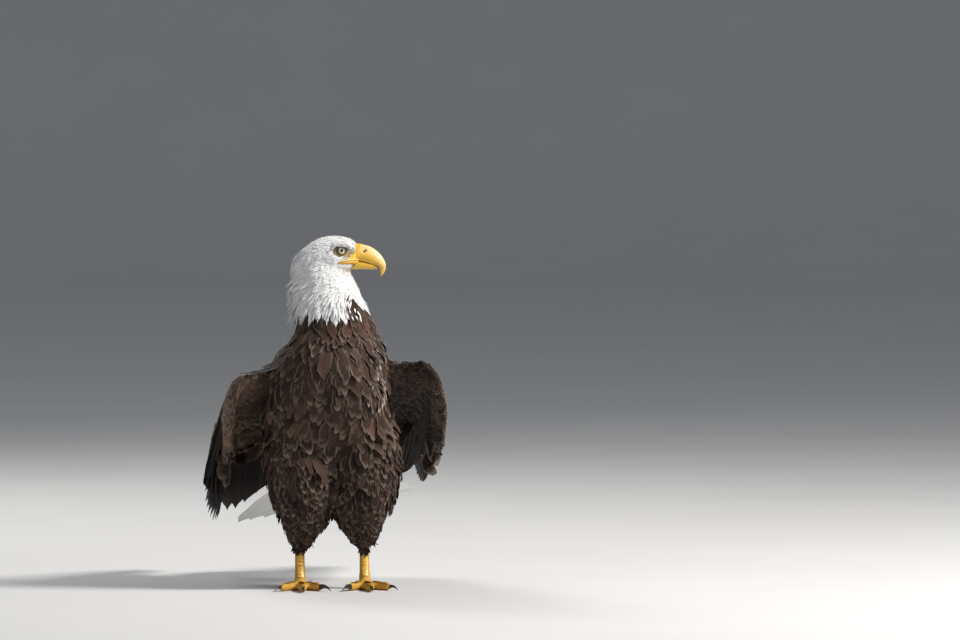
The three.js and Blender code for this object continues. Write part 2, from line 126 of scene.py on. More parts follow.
def without(v, direction):
    """Vectors less what they have along a unit direction."""
    return v - direction * np.sum(v * direction, axis=-1, keepdims=True)


def bump(*offsets_and_widths):
    """A bell that is 1 in the middle, from pairs of distance and width."""
    return np.exp(-sum((np.asarray(off) / width) ** 2 for off, width in offsets_and_widths))


def ramp(x, low, high):
    """0 below low, 1 above high, and smooth between."""
    t = np.clip((np.asarray(x, float) - low) / (high - low), 0, 1)
    return t * t * (3 - 2 * t)


def blend(a, b, t):
    return a + (b - a) * t


def through(stations, t):
    """The values of a table of stations at t, from 0 to 1, on one smooth curve through them all."""
    stations = np.asarray(stations, float)
    last = len(stations) - 1
    t = np.atleast_1d(np.clip(t, 0, 1)) * last
    i = np.minimum(t.astype(int), last - 1)
    f = (t - i)[:, None]
    a, b, c, d = (stations[np.clip(i + k, 0, last)] for k in (-1, 0, 1, 2))
    leave, arrive = (c - a) / 2, (d - b) / 2
    return (((2 * b - 2 * c + leave + arrive) * f + (3 * c - 3 * b - 2 * leave - arrive)) * f + leave) * f + b


def patches(points, size, seed):
    """Smooth random values from -1 to 1, in patches of about that size in metres."""
    dice = np.random.default_rng(seed)
    value = np.zeros(len(points))
    for _ in range(5):
        direction = unit(dice.normal(size=3))
        value += np.sin(points @ direction * (2 * math.pi / (size * dice.uniform(0.7, 1.6))) + dice.uniform(0, 6.3))
    return value / 3


# ---- Wing and tail feathers ---------------------------------------------------------------------
# Rank runs along a wing: -0.5 in the back, 0 at the elbow, 1 at the wrist and 2 at the hand's tip.
# Edge has points of the leading edge; run has the root, the way and the length of feathers, at even ranks.
FIRST_RANK, LAST_RANK = -0.5, 2
WINGS = {
    "left": {
        "mirror": 1,
        "hand_lift": 0.19,
        "edge": [[56, 26, 368], [96, -2, 360], [130, -26, 361], [158, -38, 361], [184, -14, 294], [184, 52, 226]],
        "run": [
            [44, 98, 338, -0.08, 0.8, -0.6, 165],
            [114, 130, 308, -0.08, 0.83, -0.55, 240],
            [145, 60, 324, -0.01, 0.82, -0.58, 274],
            [160, -14, 338, 0.01, 0.87, -0.5, 320],
            [173, 26, 282, 0.04, 0.95, -0.315, 428],
            [182, 66, 226, 0.05, 0.975, -0.215, 385],
        ],
    },
    "right": {
        "mirror": -1,
        "hand_lift": 0.11,
        "edge": [[56, 26, 364], [92, -2, 348], [123, -26, 344], [145, -38, 340], [158, -2, 280], [154, 56, 222]],
        "run": [
            [44, 98, 338, -0.06, 0.72, -0.69, 175],
            [122, 130, 304, 0, 0.68, -0.73, 262],
            [158, 60, 312, 0.07, 0.8, -0.6, 276],
            [160, -14, 320, 0.05, 0.86, -0.51, 318],
            [158, 26, 268, 0.005, 0.93, -0.4, 428],
            [152, 66, 218, -0.02, 0.935, -0.345, 385],
        ],
    },
}
TIP_SWELL = 24
SECONDARIES = 16
PRIMARIES = 10
RECTRICES = 12
TAIL_ROOT = [0, 146, 196]
TAIL_LENGTH = 276
TAIL_SLOPE, TAIL_ROLL, TAIL_SWING, TAIL_FAN = (math.radians(a) for a in (19, 9, 4, 30))


def rank_share(ranks):
    return (np.asarray(ranks, float) - FIRST_RANK) / (LAST_RANK - FIRST_RANK)


def wing_lines(side, ranks):
    """Leading edge, feather root, direction and length for each rank, in millimetres."""
    wing = WINGS[side]
    flip = np.array([wing["mirror"], 1, 1])
    ranks = np.asarray(ranks, float)
    edge = through(wing["edge"], rank_share(ranks)) * flip
    run = through(wing["run"], rank_share(ranks))
    tip = np.where(ranks > 1, TIP_SWELL * np.sin(math.pi * np.clip(ranks - 1, 0, 1) ** 2), 0)
    return edge, run[:, :3] * flip, unit(run[:, 3:6] * flip), run[:, 6] + tip


def hand_lines(side, ranks):
    """The same for primaries, levelled the more the nearer they are to the wrist."""
    edge, root, along, length = wing_lines(side, ranks)
    along[:, 2] += WINGS[side]["hand_lift"] * (2 - np.asarray(ranks)) ** 2
    return edge, root, unit(along), length


def covert_lines(side, ranks):
    """Where the wing's small feathers begin and end, and the way of the long ones, for each rank."""
    edge, root, along, length = wing_lines(side, ranks)
    return edge, root + along * (length * blend(0.52, 0.3, rank_share(ranks)))[:, None], along


def tail_lines():
    """Root, direction and length of each tail feather, in millimetres."""
    share = np.linspace(-1, 1, RECTRICES)
    swing = share * TAIL_FAN + TAIL_SWING
    along = np.stack([np.sin(swing), np.cos(swing), -0.05 * share**2], axis=1)
    root = np.stack([share * 20, 0 * share, -3 * share**2], axis=1)
    turn = np.array(Matrix.Rotation(-TAIL_ROLL, 3, "Y") @ Matrix.Rotation(-TAIL_SLOPE, 3, "X"))
    return root @ turn.T + TAIL_ROOT, unit(along @ turn.T), TAIL_LENGTH * (1 - 0.07 * share**2)


# ---- Mesh tools ---------------------------------------------------------------------------------
body = {}  # the materials, and what the feathers need to know of the skin; the skin's operator fills it
DOUBLES = 1e-6


def deselect():
    if bpy.context.object and bpy.context.object.mode != "OBJECT":
        bpy.ops.object.mode_set(mode="OBJECT")
    bpy.ops.object.select_all(action="DESELECT")


def choose(piece):
    deselect()
    piece.select_set(True)
    bpy.context.view_layer.objects.active = piece


@contextmanager
def editing(piece):
    """Edit mode, with all of the piece selected."""
    choose(piece)
    bpy.ops.object.mode_set(mode="EDIT")
    bpy.ops.mesh.select_all(action="SELECT")
    yield
    bpy.ops.object.mode_set(mode="OBJECT")


def copied(nodes, name):
    """One new object holding copies of those solids, with their doubles merged."""
    deselect()
    for node in nodes:
        frame["nodes"][node].select_set(True)
    bpy.context.view_layer.objects.active = frame["nodes"][nodes[0]]
    bpy.ops.object.duplicate()
    if len(nodes) > 1:
        bpy.ops.object.join()
    piece = bpy.context.object
    bpy.ops.object.parent_clear(type="CLEAR_KEEP_TRANSFORM")
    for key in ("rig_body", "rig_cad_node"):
        if key in piece:
            del piece[key]
    piece.name = piece.data.name = name
    piece.data.materials.clear()
    with editing(piece):
        bpy.ops.mesh.remove_doubles(threshold=DOUBLES)
    return piece


def applied(piece, kind, **values):
    """Adds a modifier with those values and applies it."""
    choose(piece)
    modifier = piece.modifiers.new(kind.title(), kind)
    for key, value in values.items():
        setattr(modifier, key, value)
    bpy.ops.object.modifier_apply(modifier=modifier.name)
    return piece


def read(rows, field, width, kind=np.float32):
    """One field of a mesh's corners, edges or loops, as an array of rows."""
    values = np.empty(len(rows) * width, kind)
    rows.foreach_get(field, values)
    return values.reshape(-1, width)


def corners(mesh):
    return read(mesh.vertices, "co", 3).astype(float)


def corner_normals(mesh):
    return read(mesh.vertices, "normal", 3).astype(float)


def move_corners(mesh, points):
    mesh.vertices.foreach_set("co", np.ascontiguousarray(points, np.float32).ravel())
    mesh.update()


def set_values(mesh, name, values, kind="FLOAT"):
    """Stores one number or one colour for each corner of a mesh."""
    attribute = mesh.attributes.get(name) or mesh.attributes.new(name, kind, "POINT")
    values = np.asarray(values, np.float32)
    if kind == "FLOAT_COLOR":
        values = np.concatenate([values, np.ones((len(values), 1), np.float32)], axis=1)
    attribute.data.foreach_set("color" if kind == "FLOAT_COLOR" else "value", values.ravel())


def grid(name, columns, rows):
    """A plane of columns by rows faces. Returns it with each corner's share across and along it."""
    deselect()
    bpy.ops.mesh.primitive_grid_add(x_subdivisions=columns, y_subdivisions=rows, size=1, location=(0.5, 0.5, 0))
    piece = bpy.context.object
    bpy.ops.object.transform_apply(location=True)
    piece.name = piece.data.name = name
    at = corners(piece.data)
    return piece, np.clip(at[:, 0], 0, 1), np.clip(at[:, 1], 0, 1)


def pattern_grid(columns, rows):
    """Each corner's share across and along a grid, and the grid's faces, to lay many copies by."""
    piece, across, along = grid("feather_pattern", columns, rows)
    faces = np.array([tuple(f.vertices) for f in piece.data.polygons])
    bpy.data.objects.remove(piece)
    return across, along, faces


def close_seams(piece):
    with editing(piece):
        bpy.ops.mesh.remove_doubles(threshold=DOUBLES)
        bpy.ops.mesh.normals_make_consistent(inside=False)
    return piece


def tube(name, around, along, shape):
    """A closed tube. Shape gives a point, in metres, for each angle and each share along."""
    piece, across, up = grid(name, around, along)
    move_corners(piece.data, shape(across * 2 * math.pi, up))
    with editing(piece):
        bpy.ops.mesh.remove_doubles(threshold=DOUBLES)
        bpy.ops.mesh.select_all(action="DESELECT")
        bpy.ops.mesh.select_non_manifold()
        bpy.ops.mesh.fill_holes(sides=0)
        bpy.ops.mesh.select_all(action="SELECT")
        bpy.ops.mesh.normals_make_consistent(inside=False)
    return piece


def nearby(points, keys=None):
    """A search tree that finds points by their keys, or by their places in the list."""
    tree = KDTree(len(points))
    for key, point in zip(range(len(points)) if keys is None else keys, points):
        tree.insert(Vector(point), int(key))
    tree.balance()
    return tree


def finished(piece, slot, *nodes, material):
    """Shades a piece, hangs it on the root body and hides the nodes it replaces. The slot is not used."""
    choose(piece)
    bpy.ops.object.shade_smooth()
    piece.data.materials.clear()
    piece.data.materials.append(body["materials"][material])
    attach(piece, "root")
    if nodes:
        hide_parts(*nodes)
    return piece


# ---- The skin under the plumage -----------------------------------------------------------------
SWELL = 0.0004
VOXEL = 0.0031
FLOOR_GAP = 0.0001
UNWRAP_ANGLE = math.radians(70)
COLLAR_HEIGHT, COLLAR_EDGE = 420, 7
COLLAR_PARTING = 464
RUMP_START, RUMP_EDGE = 128, 10
HEAD_PART, NECK, TRUNK, ARM, HAND, THIGH, SHANK, TOE = range(8)
PARTS = {"head": HEAD_PART, "neck": NECK, "trunk": TRUNK}
for _side in ("left", "right"):
    PARTS |= {f"{_side}_wing_arm": ARM, f"{_side}_wing_hand": HAND, f"{_side}_thigh": THIGH, f"{_side}_shank": SHANK}
    PARTS |= {f"{_side}_{_toe}_toe": TOE for _toe in ("inner", "middle", "outer", "hind")}
COAT_DEPTH = {HEAD_PART: 2.2, NECK: 7.0, TRUNK: 9.0, ARM: 5.0, HAND: 4.0, THIGH: 7.0, SHANK: 0.5, TOE: 0.3}

def which_part(points):
    """The part of the bird each point lies on."""
    soup, faces, owner = [], [], []
    for node, part in PARTS.items():
        solid = frame["nodes"][node]
        base = len(soup)
        soup.extend((solid.matrix_world @ v.co)[:] for v in solid.data.vertices)
        faces.extend([base + i for i in face.vertices] for face in solid.data.polygons)
        owner.extend([part] * len(solid.data.polygons))
    tree = BVHTree.FromPolygons(soup, faces)
    return np.array([owner[tree.find_nearest(Vector(p))[2]] for p in points])


def torn(points):
    """How far an edge between white and brown plumage strays, in millimetres."""
    return 5.5 * patches(points, 0.022, 3) + 3 * patches(points, 0.008, 4)


def white_above(points, tip_drop):
    """How white the plumage is whose root is at points and whose tip hangs tip_drop mm lower."""
    x, y, z = in_bird(points).T
    tip = z - tip_drop
    edge = COLLAR_HEIGHT + torn(points)
    collar = ramp(tip + 0.1 * y, edge, edge + COLLAR_EDGE)
    beside = 0.99 * x - 0.12 * y - 29
    hang = COLLAR_PARTING - tip
    return collar * ~((beside > 0.5 * hang) & (beside < hang) & (y < 20))


def rump_white(points):
    """How white the plumage is above the tail."""
    x, y, z = in_bird(points).T
    return ramp(y + 0.35 * (230 - z) + torn(points), RUMP_START, RUMP_START + RUMP_EDGE) * (z < 300)


def edge_ends(mesh):
    """The first and the second corner of every edge."""
    return read(mesh.edges, "vertices", 2, np.int32).T


def eased(mesh, values, rounds):
    """Values of the corners, averaged with those of their neighbours again and again."""
    a, b = edge_ends(mesh)
    here, there = np.r_[a, b], np.r_[b, a]
    count = np.bincount(here, minlength=len(values))[:, None]
    for _ in range(rounds):
        values = np.stack([np.bincount(here, column[there], len(values)) for column in values.T], axis=1) / count
    return values


def soft_borders(mesh, points, part):
    """Smooths the creases where the head, neck, trunk, wings and thighs meet."""
    a, b = edge_ends(mesh)
    meet = (part[a] != part[b]) & (part[a] < SHANK) & (part[b] < SHANK)
    border = np.zeros((len(points), 1))
    border[a[meet]] = border[b[meet]] = 1
    return blend(points, eased(mesh, points, 25), np.clip(eased(mesh, border, 30) * 6, 0, 1))


def skin_shape():
    """One closed skin from copies of the solids, swollen until they meet, remeshed, and finer on head and feet."""
    skin = copied(list(PARTS), "skin")
    move_corners(skin.data, corners(skin.data) + corner_normals(skin.data) * SWELL)
    applied(skin, "REMESH", mode="VOXEL", voxel_size=VOXEL)
    applied(skin, "SMOOTH", factor=0.5, iterations=4)
    fine = np.isin(which_part(corners(skin.data)), (HEAD_PART, SHANK, TOE))

    def change_fine(operator, **settings):
        skin.data.vertices.foreach_set("select", fine)
        bpy.ops.object.mode_set(mode="EDIT")
        operator(**settings)
        bpy.ops.object.mode_set(mode="OBJECT")

    choose(skin)
    change_fine(bpy.ops.mesh.select_mode, type="VERT")
    change_fine(bpy.ops.mesh.subdivide, number_cuts=1, smoothness=0.6)
    return skin


def room_inside(tree, points, normals):
    """How thick the body is under each point, in metres."""
    deep = np.full(len(points), 0.1)
    for i, (p, n) in enumerate(zip(points, normals)):
        far = tree.ray_cast(Vector(p - n * SWELL), Vector(-n), deep[i])[3]
        deep[i] = deep[i] if far is None else far
    return deep


def brow_line(u):
    """The height of the brow's lower edge and of the painted shadow line under it, along the head."""
    return np.interp(u, [-18, -16.5, -10.5, -3, 8.5, 19, 25], [-3, -1, 4.8, 7.2, 6.4, 6.4, 5.5])


def brow_shade(points):
    """How far a place lies in the stripe of painted shadow under the brow."""
    u, s, w = to_head(points)
    front = ramp(u, 4, 9)
    stripe = bump((w - brow_line(u) + 0.9 + 1.1 * front, 1.2 + 1.1 * front))
    return stripe * ramp(u, -17, -13) * (1 - ramp(u, 19, 26)) * (np.abs(s) > 9)


def face_relief(points, normals):
    """Carves the head: lores, cheek, the shelf over the eye and the hollow in front of it."""
    u, s, w = to_head(points)
    under = w - brow_line(u) - 1.6
    shelf = bump((under, np.where(under > 0, 5.0, 1.3))) * ramp(u, -17, -7) * (1 - ramp(u, 16, 25))
    lore = bump((u - 17, 6), (w + 3, 6))
    cheek = bump((u + 6, 16), (w + 19, 9))
    lift = (3.6 * shelf - 1.6 * lore + 1.2 * cheek) * ramp(np.abs(s), 8, 16)
    return points + normals * (lift * MM)[:, None]


def coat_depth(points, part):
    """How far the skin lies under the solids, in millimetres: thin at the face, uneven on the trunk."""
    depth = np.array([COAT_DEPTH[k] for k in part])
    u, s, w = to_head(points)
    far = np.hypot(u - 14, w + 4)
    depth = np.where(np.isin(part, (HEAD_PART, NECK)), blend(1.1, 7.5, ramp(far, 16, 105)), depth)
    folds = patches(points, 0.075, 21) + 0.5 * patches(points, 0.035, 22)
    return depth + (part == TRUNK) * (2.5 + 6 * folds)


def cere_place(points):
    """Where the yellow skin round the root of the bill is."""
    u, _, w = to_head(points)
    return (u > feather_line(w) - 0.4) & (w > -22) & (w < 13)


def skin_colours(points, part, cere):
    """The markings of the coat on the skin under it, grey under the white coat as painted shade in its gaps, painted
    shadow under the brow, and the yellow of the bare parts.
    """
    head, bare = part == HEAD_PART, np.isin(part, (SHANK, TOE))
    white = np.isin(part, (HEAD_PART, NECK)) & (white_above(points, 0.5 * nape_sizes(points)[0]) > 0.5)
    white = white | (part == TRUNK) & (rump_white(points) > 0.5)
    shade = np.where(white[:, None], SKIN_WHITE, SKIN_BROWN)
    shade = np.where(bare[:, None], FOOT_YELLOW, shade)
    shade = np.where((head & face_bare(points))[:, None], EYE_RING, shade)
    shade = blend(shade, LORE_SKIN, (lore_place(points) * head)[:, None])
    # Painted shadow under the brow.
    shade = blend(shade, BROW_SHADE, (brow_shade(points) * head)[:, None])
    return np.where(cere[:, None], CERE_YELLOW, shade), bare


def build_skin():
    """Sinks the joined skin under the solids by the coat's depth, then unwraps, colours and remembers it."""
    skin = skin_shape()
    part = which_part(corners(skin.data))
    move_corners(skin.data, soft_borders(skin.data, corners(skin.data), part))
    points, normals = corners(skin.data), corner_normals(skin.data)
    head = part == HEAD_PART
    points[head] = face_relief(points[head], normals[head])
    cere = head & cere_place(points)
    tree = BVHTree.FromPolygons(points.tolist(), [tuple(f.vertices) for f in skin.data.polygons])
    depth = eased(skin.data, coat_depth(points, part)[:, None], 16)[:, 0]
    depth = np.minimum(depth * MM, 0.36 * room_inside(tree, points, normals))
    points = points - normals * depth[:, None]
    points[:, 2] = np.maximum(points[:, 2], FLOOR_GAP)
    move_corners(skin.data, points)
    bpy.context.view_layer.update()
    with editing(skin):
        bpy.ops.uv.smart_project(angle_limit=UNWRAP_ANGLE, island_margin=0.0005)
    skin.data.uv_layers.active.name = "OFBake"
    remember(skin.data, part)
    shade, bare = skin_colours(points, part, cere)
    set_values(skin.data, "plumage", shade, "FLOAT_COLOR")
    set_values(skin.data, "scaly", bare)
    return skin


def remember(mesh, part):
    """Keeps the skin's corners, faces, parts and unwrap for laying feathers."""
    uv = np.zeros((len(mesh.vertices), 2))
    uv[read(mesh.loops, "vertex_index", 1, np.int32)[:, 0]] = read(mesh.uv_layers["OFBake"].data, "uv", 2)
    polygons = [tuple(f.vertices) for f in mesh.polygons]
    points = corners(mesh)
    tree = BVHTree.FromPolygons(points.tolist(), polygons)
    first = np.array([p[0] for p in polygons])
    body.update(points=points, normals=corner_normals(mesh), part=part, uv=uv, tree=tree, face_corner=first)


# ---- How the feathers lie -----------------------------------------------------------------------
def feather_line(w):
    """How far forward the face's feathers grow at each height."""
    heights = [-34, -22, -21.5, -18, -15.5, -12.6, -8, -3.4, 2.3, 9.6, 16]
    return np.interp(w, heights, [18, 18, -2, -2, 2, 14, 18.5, 23, 24.5, 25.5, 23])


def face_bare(points):
    """Where the skin shows: round the eye, in the bill and along the gape."""
    u, s, w = to_head(points)
    opening = np.hypot((u - EYE_U) / np.where(u < EYE_U, 1.3, 1.1), w + 0.6)
    eye = (ramp(opening, 8.8, 9.6) < 0.5) & (np.abs(s) > 14)
    return eye | (u > feather_line(w)) & (w > -34) & (w < 14)


def lore_place(points):
    """How far a place belongs to the thinly feathered skin between the eye and the bill."""
    u, s, w = to_head(points)
    return np.exp(-(((u - 17) / 12.5) ** 4) - ((w + 4.5 + 0.15 * (u - 15)) / 9) ** 4) * (np.abs(s) > 6)


def wing_place(points, side):
    """Rank along the wing and share from the leading edge back, for points of that wing."""
    ranks = np.linspace(FIRST_RANK, LAST_RANK, 76)
    edge, end, _ = covert_lines(side, ranks)
    at = in_bird(points)
    best = np.full(len(at), np.inf)
    rank, share = np.zeros(len(at)), np.zeros(len(at))
    for k, chord in enumerate(end - edge):
        t = np.clip((at - edge[k]) @ chord / (chord @ chord), 0, 1)
        gap = np.linalg.norm(at - edge[k] - t[:, None] * chord, axis=1)
        closer = gap < best
        best[closer], rank[closer], share[closer] = gap[closer], ranks[k], t[closer]
    return rank, share


def flow(points, normals, part):
    """The way feathers point at each place, along the skin."""
    x, y, z = in_bird(points).T
    u, s, w = to_head(points)
    none = np.zeros(len(points))
    nape = ramp(-u, -10, 60)
    head = -FORWARD + np.outer(-0.38 - 0.5 * nape, UP) + np.outer(0.1 * np.sign(s), LEFT)
    down = np.stack([0.0016 * x, none + 0.16, none - 1], axis=1)
    rearward = np.stack([0.0012 * x, none + 1, none - 0.42], axis=1)
    shoulder = ramp(np.abs(x), 40, 60) * ramp(normals[:, 2], 0.2, 0.7) * ramp(y, -30, 10)
    ways = {
        HEAD_PART: head,
        NECK: blend(head, down, ramp(-w, 46, 88)[:, None]),
        TRUNK: blend(down, rearward, np.maximum(ramp(y, 20, 120), shoulder)[:, None]),
        THIGH: np.stack([none, none + 0.2, none - 1], axis=1),
        SHANK: np.stack([none, none, none - 1], axis=1),
    }
    way = np.zeros((len(points), 3))
    for key, value in ways.items():
        way[part == key] = value[part == key]
    for name, wing in WINGS.items():
        here = np.isin(part, (ARM, HAND)) & (np.sign(x) == wing["mirror"])
        if here.any():
            rank, share = wing_place(points[here], name)
            edge, end, along = covert_lines(name, rank)
            way[here] = blend(unit(end - edge), along, ramp(share, 0.15, 0.7)[:, None])
    return unit(without(way, normals))


def spread(points, spacing, seed):
    """Which of the points to keep so that none is closer to another than its spacing, in metres."""
    tree = nearby(points)
    spacing = np.broadcast_to(spacing, len(points))
    taken, chosen = np.zeros(len(points), bool), []
    for i in np.random.default_rng(seed).permutation(len(points)):
        if not taken[i]:
            chosen.append(i)
            taken[[j for _, j, _ in tree.find_range(Vector(points[i]), float(spacing[i]))]] = True
    return np.array(chosen, int)


def vane_pattern(columns, rows, outline, rounding):
    """One feather modelled on a grid: share across from -1 to 1, share along, half-width there, and faces."""
    across, along, faces = pattern_grid(columns, rows)
    s = across * 2 - 1
    width = np.interp(along, *np.array(outline, float).T)
    bent = along - rounding * s**2 * along**2
    return {"s": s, "t": along, "bent": bent, "width": width, "faces": faces, "rows": rows}


def march(roots, ways, normals, lengths, steps):
    """Lines of points that set off from the roots and stay on the skin. Returns points and normals."""
    line, ups = [roots], [normals]
    now, way, up = roots, ways, normals
    stride = (lengths / steps)[:, None]
    for _ in range(steps):
        ahead = now + way * stride
        hits = [body["tree"].find_nearest(Vector(p)) for p in ahead]
        nearest = np.array([hit[0] for hit in hits])
        found = body["normals"][body["face_corner"][[hit[2] for hit in hits]]]
        on = (np.sum(found * up, axis=1) > 0.35) & (np.linalg.norm(nearest - ahead, axis=1) < 1.2 * stride[:, 0])
        on = on[:, None]
        now = np.where(on, nearest, ahead)
        up = np.where(on, unit(blend(up, found, 0.75)), up)
        back = np.where(on, 0.0, np.clip((nearest - ahead) / stride, -1.5, 1.5))
        way = unit(without(way, up) + 0.5 * back)
        line.append(now)
        ups.append(up)
    return np.stack(line, axis=1), np.stack(ups, axis=1)


def vane_mesh(name, points, faces, bake, vane, shades, fringes):
    """One joined mesh of feathers, from arrays over feathers and their corners, with both of its unwraps."""
    count, n = points.shape[:2]
    every = (faces[None] + (np.arange(count) * n)[:, None, None]).reshape(-1, faces.shape[1])
    mesh = bpy.data.meshes.new(name)
    mesh.from_pydata(points.reshape(-1, 3).tolist(), [], every.tolist())
    for layer, values in (("OFBake", bake), ("Vane", vane)):
        values = values.reshape(-1, 2)[every.ravel()].astype(np.float32)
        mesh.uv_layers.new(name=layer).data.foreach_set("uv", values.ravel())
    set_values(mesh, "plumage", np.broadcast_to(shades, points.shape).reshape(-1, 3), "FLOAT_COLOR")
    set_values(mesh, "fringe", np.repeat(fringes, n))
    piece = bpy.data.objects.new(name, mesh)
    bpy.context.scene.collection.objects.link(piece)
    return piece


def vane_places(s, t, count):
    """Share across and along for every corner of every feather."""
    return np.stack(np.broadcast_arrays(s * 0.5 + 0.5, t, np.zeros((count, 1)))[:2], axis=-1)


def lay(name, slot, material, pattern, roots, ways, lengths, widths, lifts, shades, fringes, seed,
        arch=0.12, rise=1.0, pull=None, frayed=0.0):
    """One joined mesh of feathers rooted at those corners of the skin. Lengths, widths and lifts in metres."""
    count, steps = len(roots), pattern["rows"]
    dice = np.random.default_rng(seed)
    line, ups = march(body["points"][roots], ways, body["normals"][roots], lengths, steps)
    place = np.clip(pattern["bent"], 0, 1) * steps
    i = np.minimum(place.astype(int), steps - 1)
    f = (place - i)[None, :, None]
    at = blend(line[:, i], line[:, i + 1], f)
    up = unit(blend(ups[:, i], ups[:, i + 1], f))
    across = np.cross(unit(line[:, i + 1] - line[:, i]), up)
    s, t = pattern["s"][None, :], pattern["t"][None, :]
    twist = dice.normal(0, 0.05, count)[:, None]
    half = (widths / 2)[:, None] * pattern["width"][None, :]
    half = half * (1 + frayed * dice.normal(size=(count, s.size)) * t)
    if pull is not None:
        at = at + pull[:, None, :] * (t**1.2)[..., None]
    height = lifts[:, None] * t**rise - arch * half * s**2 + twist * half * s
    height = height + ROOT_LIFT + dice.uniform(0, 0.0006, count)[:, None] * t
    points = at + across * (half * s)[..., None] + up * height[..., None]
    vane = vane_places(s, t, count)
    bake = body["uv"][roots][:, None, :] + BAKE_PATCH * (vane - 0.5)
    piece = vane_mesh(name, points, pattern["faces"], bake, vane, shades[:, None], fringes)
    return finished(piece, slot, material=material)


BAKE_PATCH = 0.003
ROOT_LIFT = 0.0002

# Outlines: share of the length against share of the full width.
SCALE = [(0, 0.5), (0.3, 0.9), (0.6, 1), (0.85, 0.9), (1, 0.62)]
CONTOUR = [(0, 0.45), (0.3, 0.85), (0.6, 1), (0.82, 0.96), (0.93, 0.82), (1, 0.58)]
HACKLE = [(0, 0.5), (0.25, 0.95), (0.5, 1), (0.75, 0.72), (0.92, 0.32), (1, 0.06)]
COVERT = [(0, 0.6), (0.3, 0.95), (0.75, 1), (0.93, 0.84), (1, 0.6)]

# Grey under the white feathers: painted shade in the gaps between them.
SKIN_WHITE = np.array([0.52, 0.52, 0.54])
SKIN_BROWN = np.array([0.035, 0.024, 0.018])
FOOT_YELLOW = np.array([0.72, 0.40, 0.05])
LORE_SKIN = np.array([0.30, 0.20, 0.06])
EYE_RING = np.array([0.15, 0.105, 0.028])
LORE_FEATHER = np.array([0.37, 0.235, 0.075])
CHIN_STAIN = np.array([0.36, 0.27, 0.18])
# Painted shadow under the shelf of the brow, on skin and feathers.
BROW_SHADE = np.array([0.055, 0.045, 0.03])
WHITE = np.array([0.89, 0.885, 0.875])
BROWN = np.array([0.046, 0.026, 0.019])
WHITE_EDGE = (0.93, 0.925, 0.91)
CERE_YELLOW = np.array([0.80, 0.46, 0.04])


# ---- Materials ----------------------------------------------------------------------------------
def feed(tree, socket, value):
    """Links a socket to another node's output, or sets its value."""
    if isinstance(value, bpy.types.NodeSocket):
        tree.links.new(value, socket)
    else:
        socket.default_value = value


def node(tree, kind, inputs=None, **settings):
    """Adds a shader node. Inputs may be values or other nodes' outputs."""
    one = tree.nodes.new("ShaderNode" + kind)
    for key, value in settings.items():
        setattr(one, key, value)
    for key, value in (inputs or {}).items():
        feed(tree, one.inputs[key], value)
    return one


def calc(tree, operation, a, b=0.0, c=0.0):
    return node(tree, "Math", {0: a, 1: b, 2: c}, operation=operation).outputs[0]


def mixed(tree, a, b, factor, blend_type="MIX"):
    return node(tree, "Mix", {0: factor, 6: a, 7: b}, data_type="RGBA", blend_type=blend_type).outputs[2]


def shaded(tree, colour, shade):
    """A colour times a grey."""
    grey = node(tree, "CombineColor", {0: shade, 1: shade, 2: shade}).outputs[0]
    return mixed(tree, colour, grey, 1.0, "MULTIPLY")


def smooth_step(tree, value, low, high):
    return node(tree, "MapRange", {0: value, 1: low, 2: high}, interpolation_type="SMOOTHSTEP").outputs[0]


def spanned(tree, value, low, high):
    """A value from 0 to 1 spread from low to high."""
    return node(tree, "MapRange", {0: value, 3: low, 4: high}).outputs[0]


def noise(tree, place, scale, detail):
    """A cloudy value at a place."""
    return node(tree, "TexNoise", {"Vector": place, "Scale": scale, "Detail": detail}).outputs[0]


def stored(tree, name, output="Color"):
    """What the mesh stores under that name."""
    return node(tree, "Attribute", attribute_name=name).outputs[output]


def object_place(tree):
    return node(tree, "TexCoord").outputs["Object"]


def raised(tree, shader, height, strength, distance):
    relief = node(tree, "Bump", {"Strength": strength, "Distance": distance, "Height": height})
    tree.links.new(relief.outputs[0], shader.inputs["Normal"])


def group(name, inputs, outputs):
    """A new node group with those named sockets. Returns it with its input and output nodes."""
    tree = bpy.data.node_groups.new(name, "ShaderNodeTree")
    for label, kind, value in inputs:
        socket = tree.interface.new_socket(label, in_out="INPUT", socket_type="NodeSocket" + kind)
        if value is not None:
            socket.default_value = value
    for label, kind in outputs:
        tree.interface.new_socket(label, in_out="OUTPUT", socket_type="NodeSocket" + kind)
    return tree, tree.nodes.new("NodeGroupInput").outputs, tree.nodes.new("NodeGroupOutput").inputs


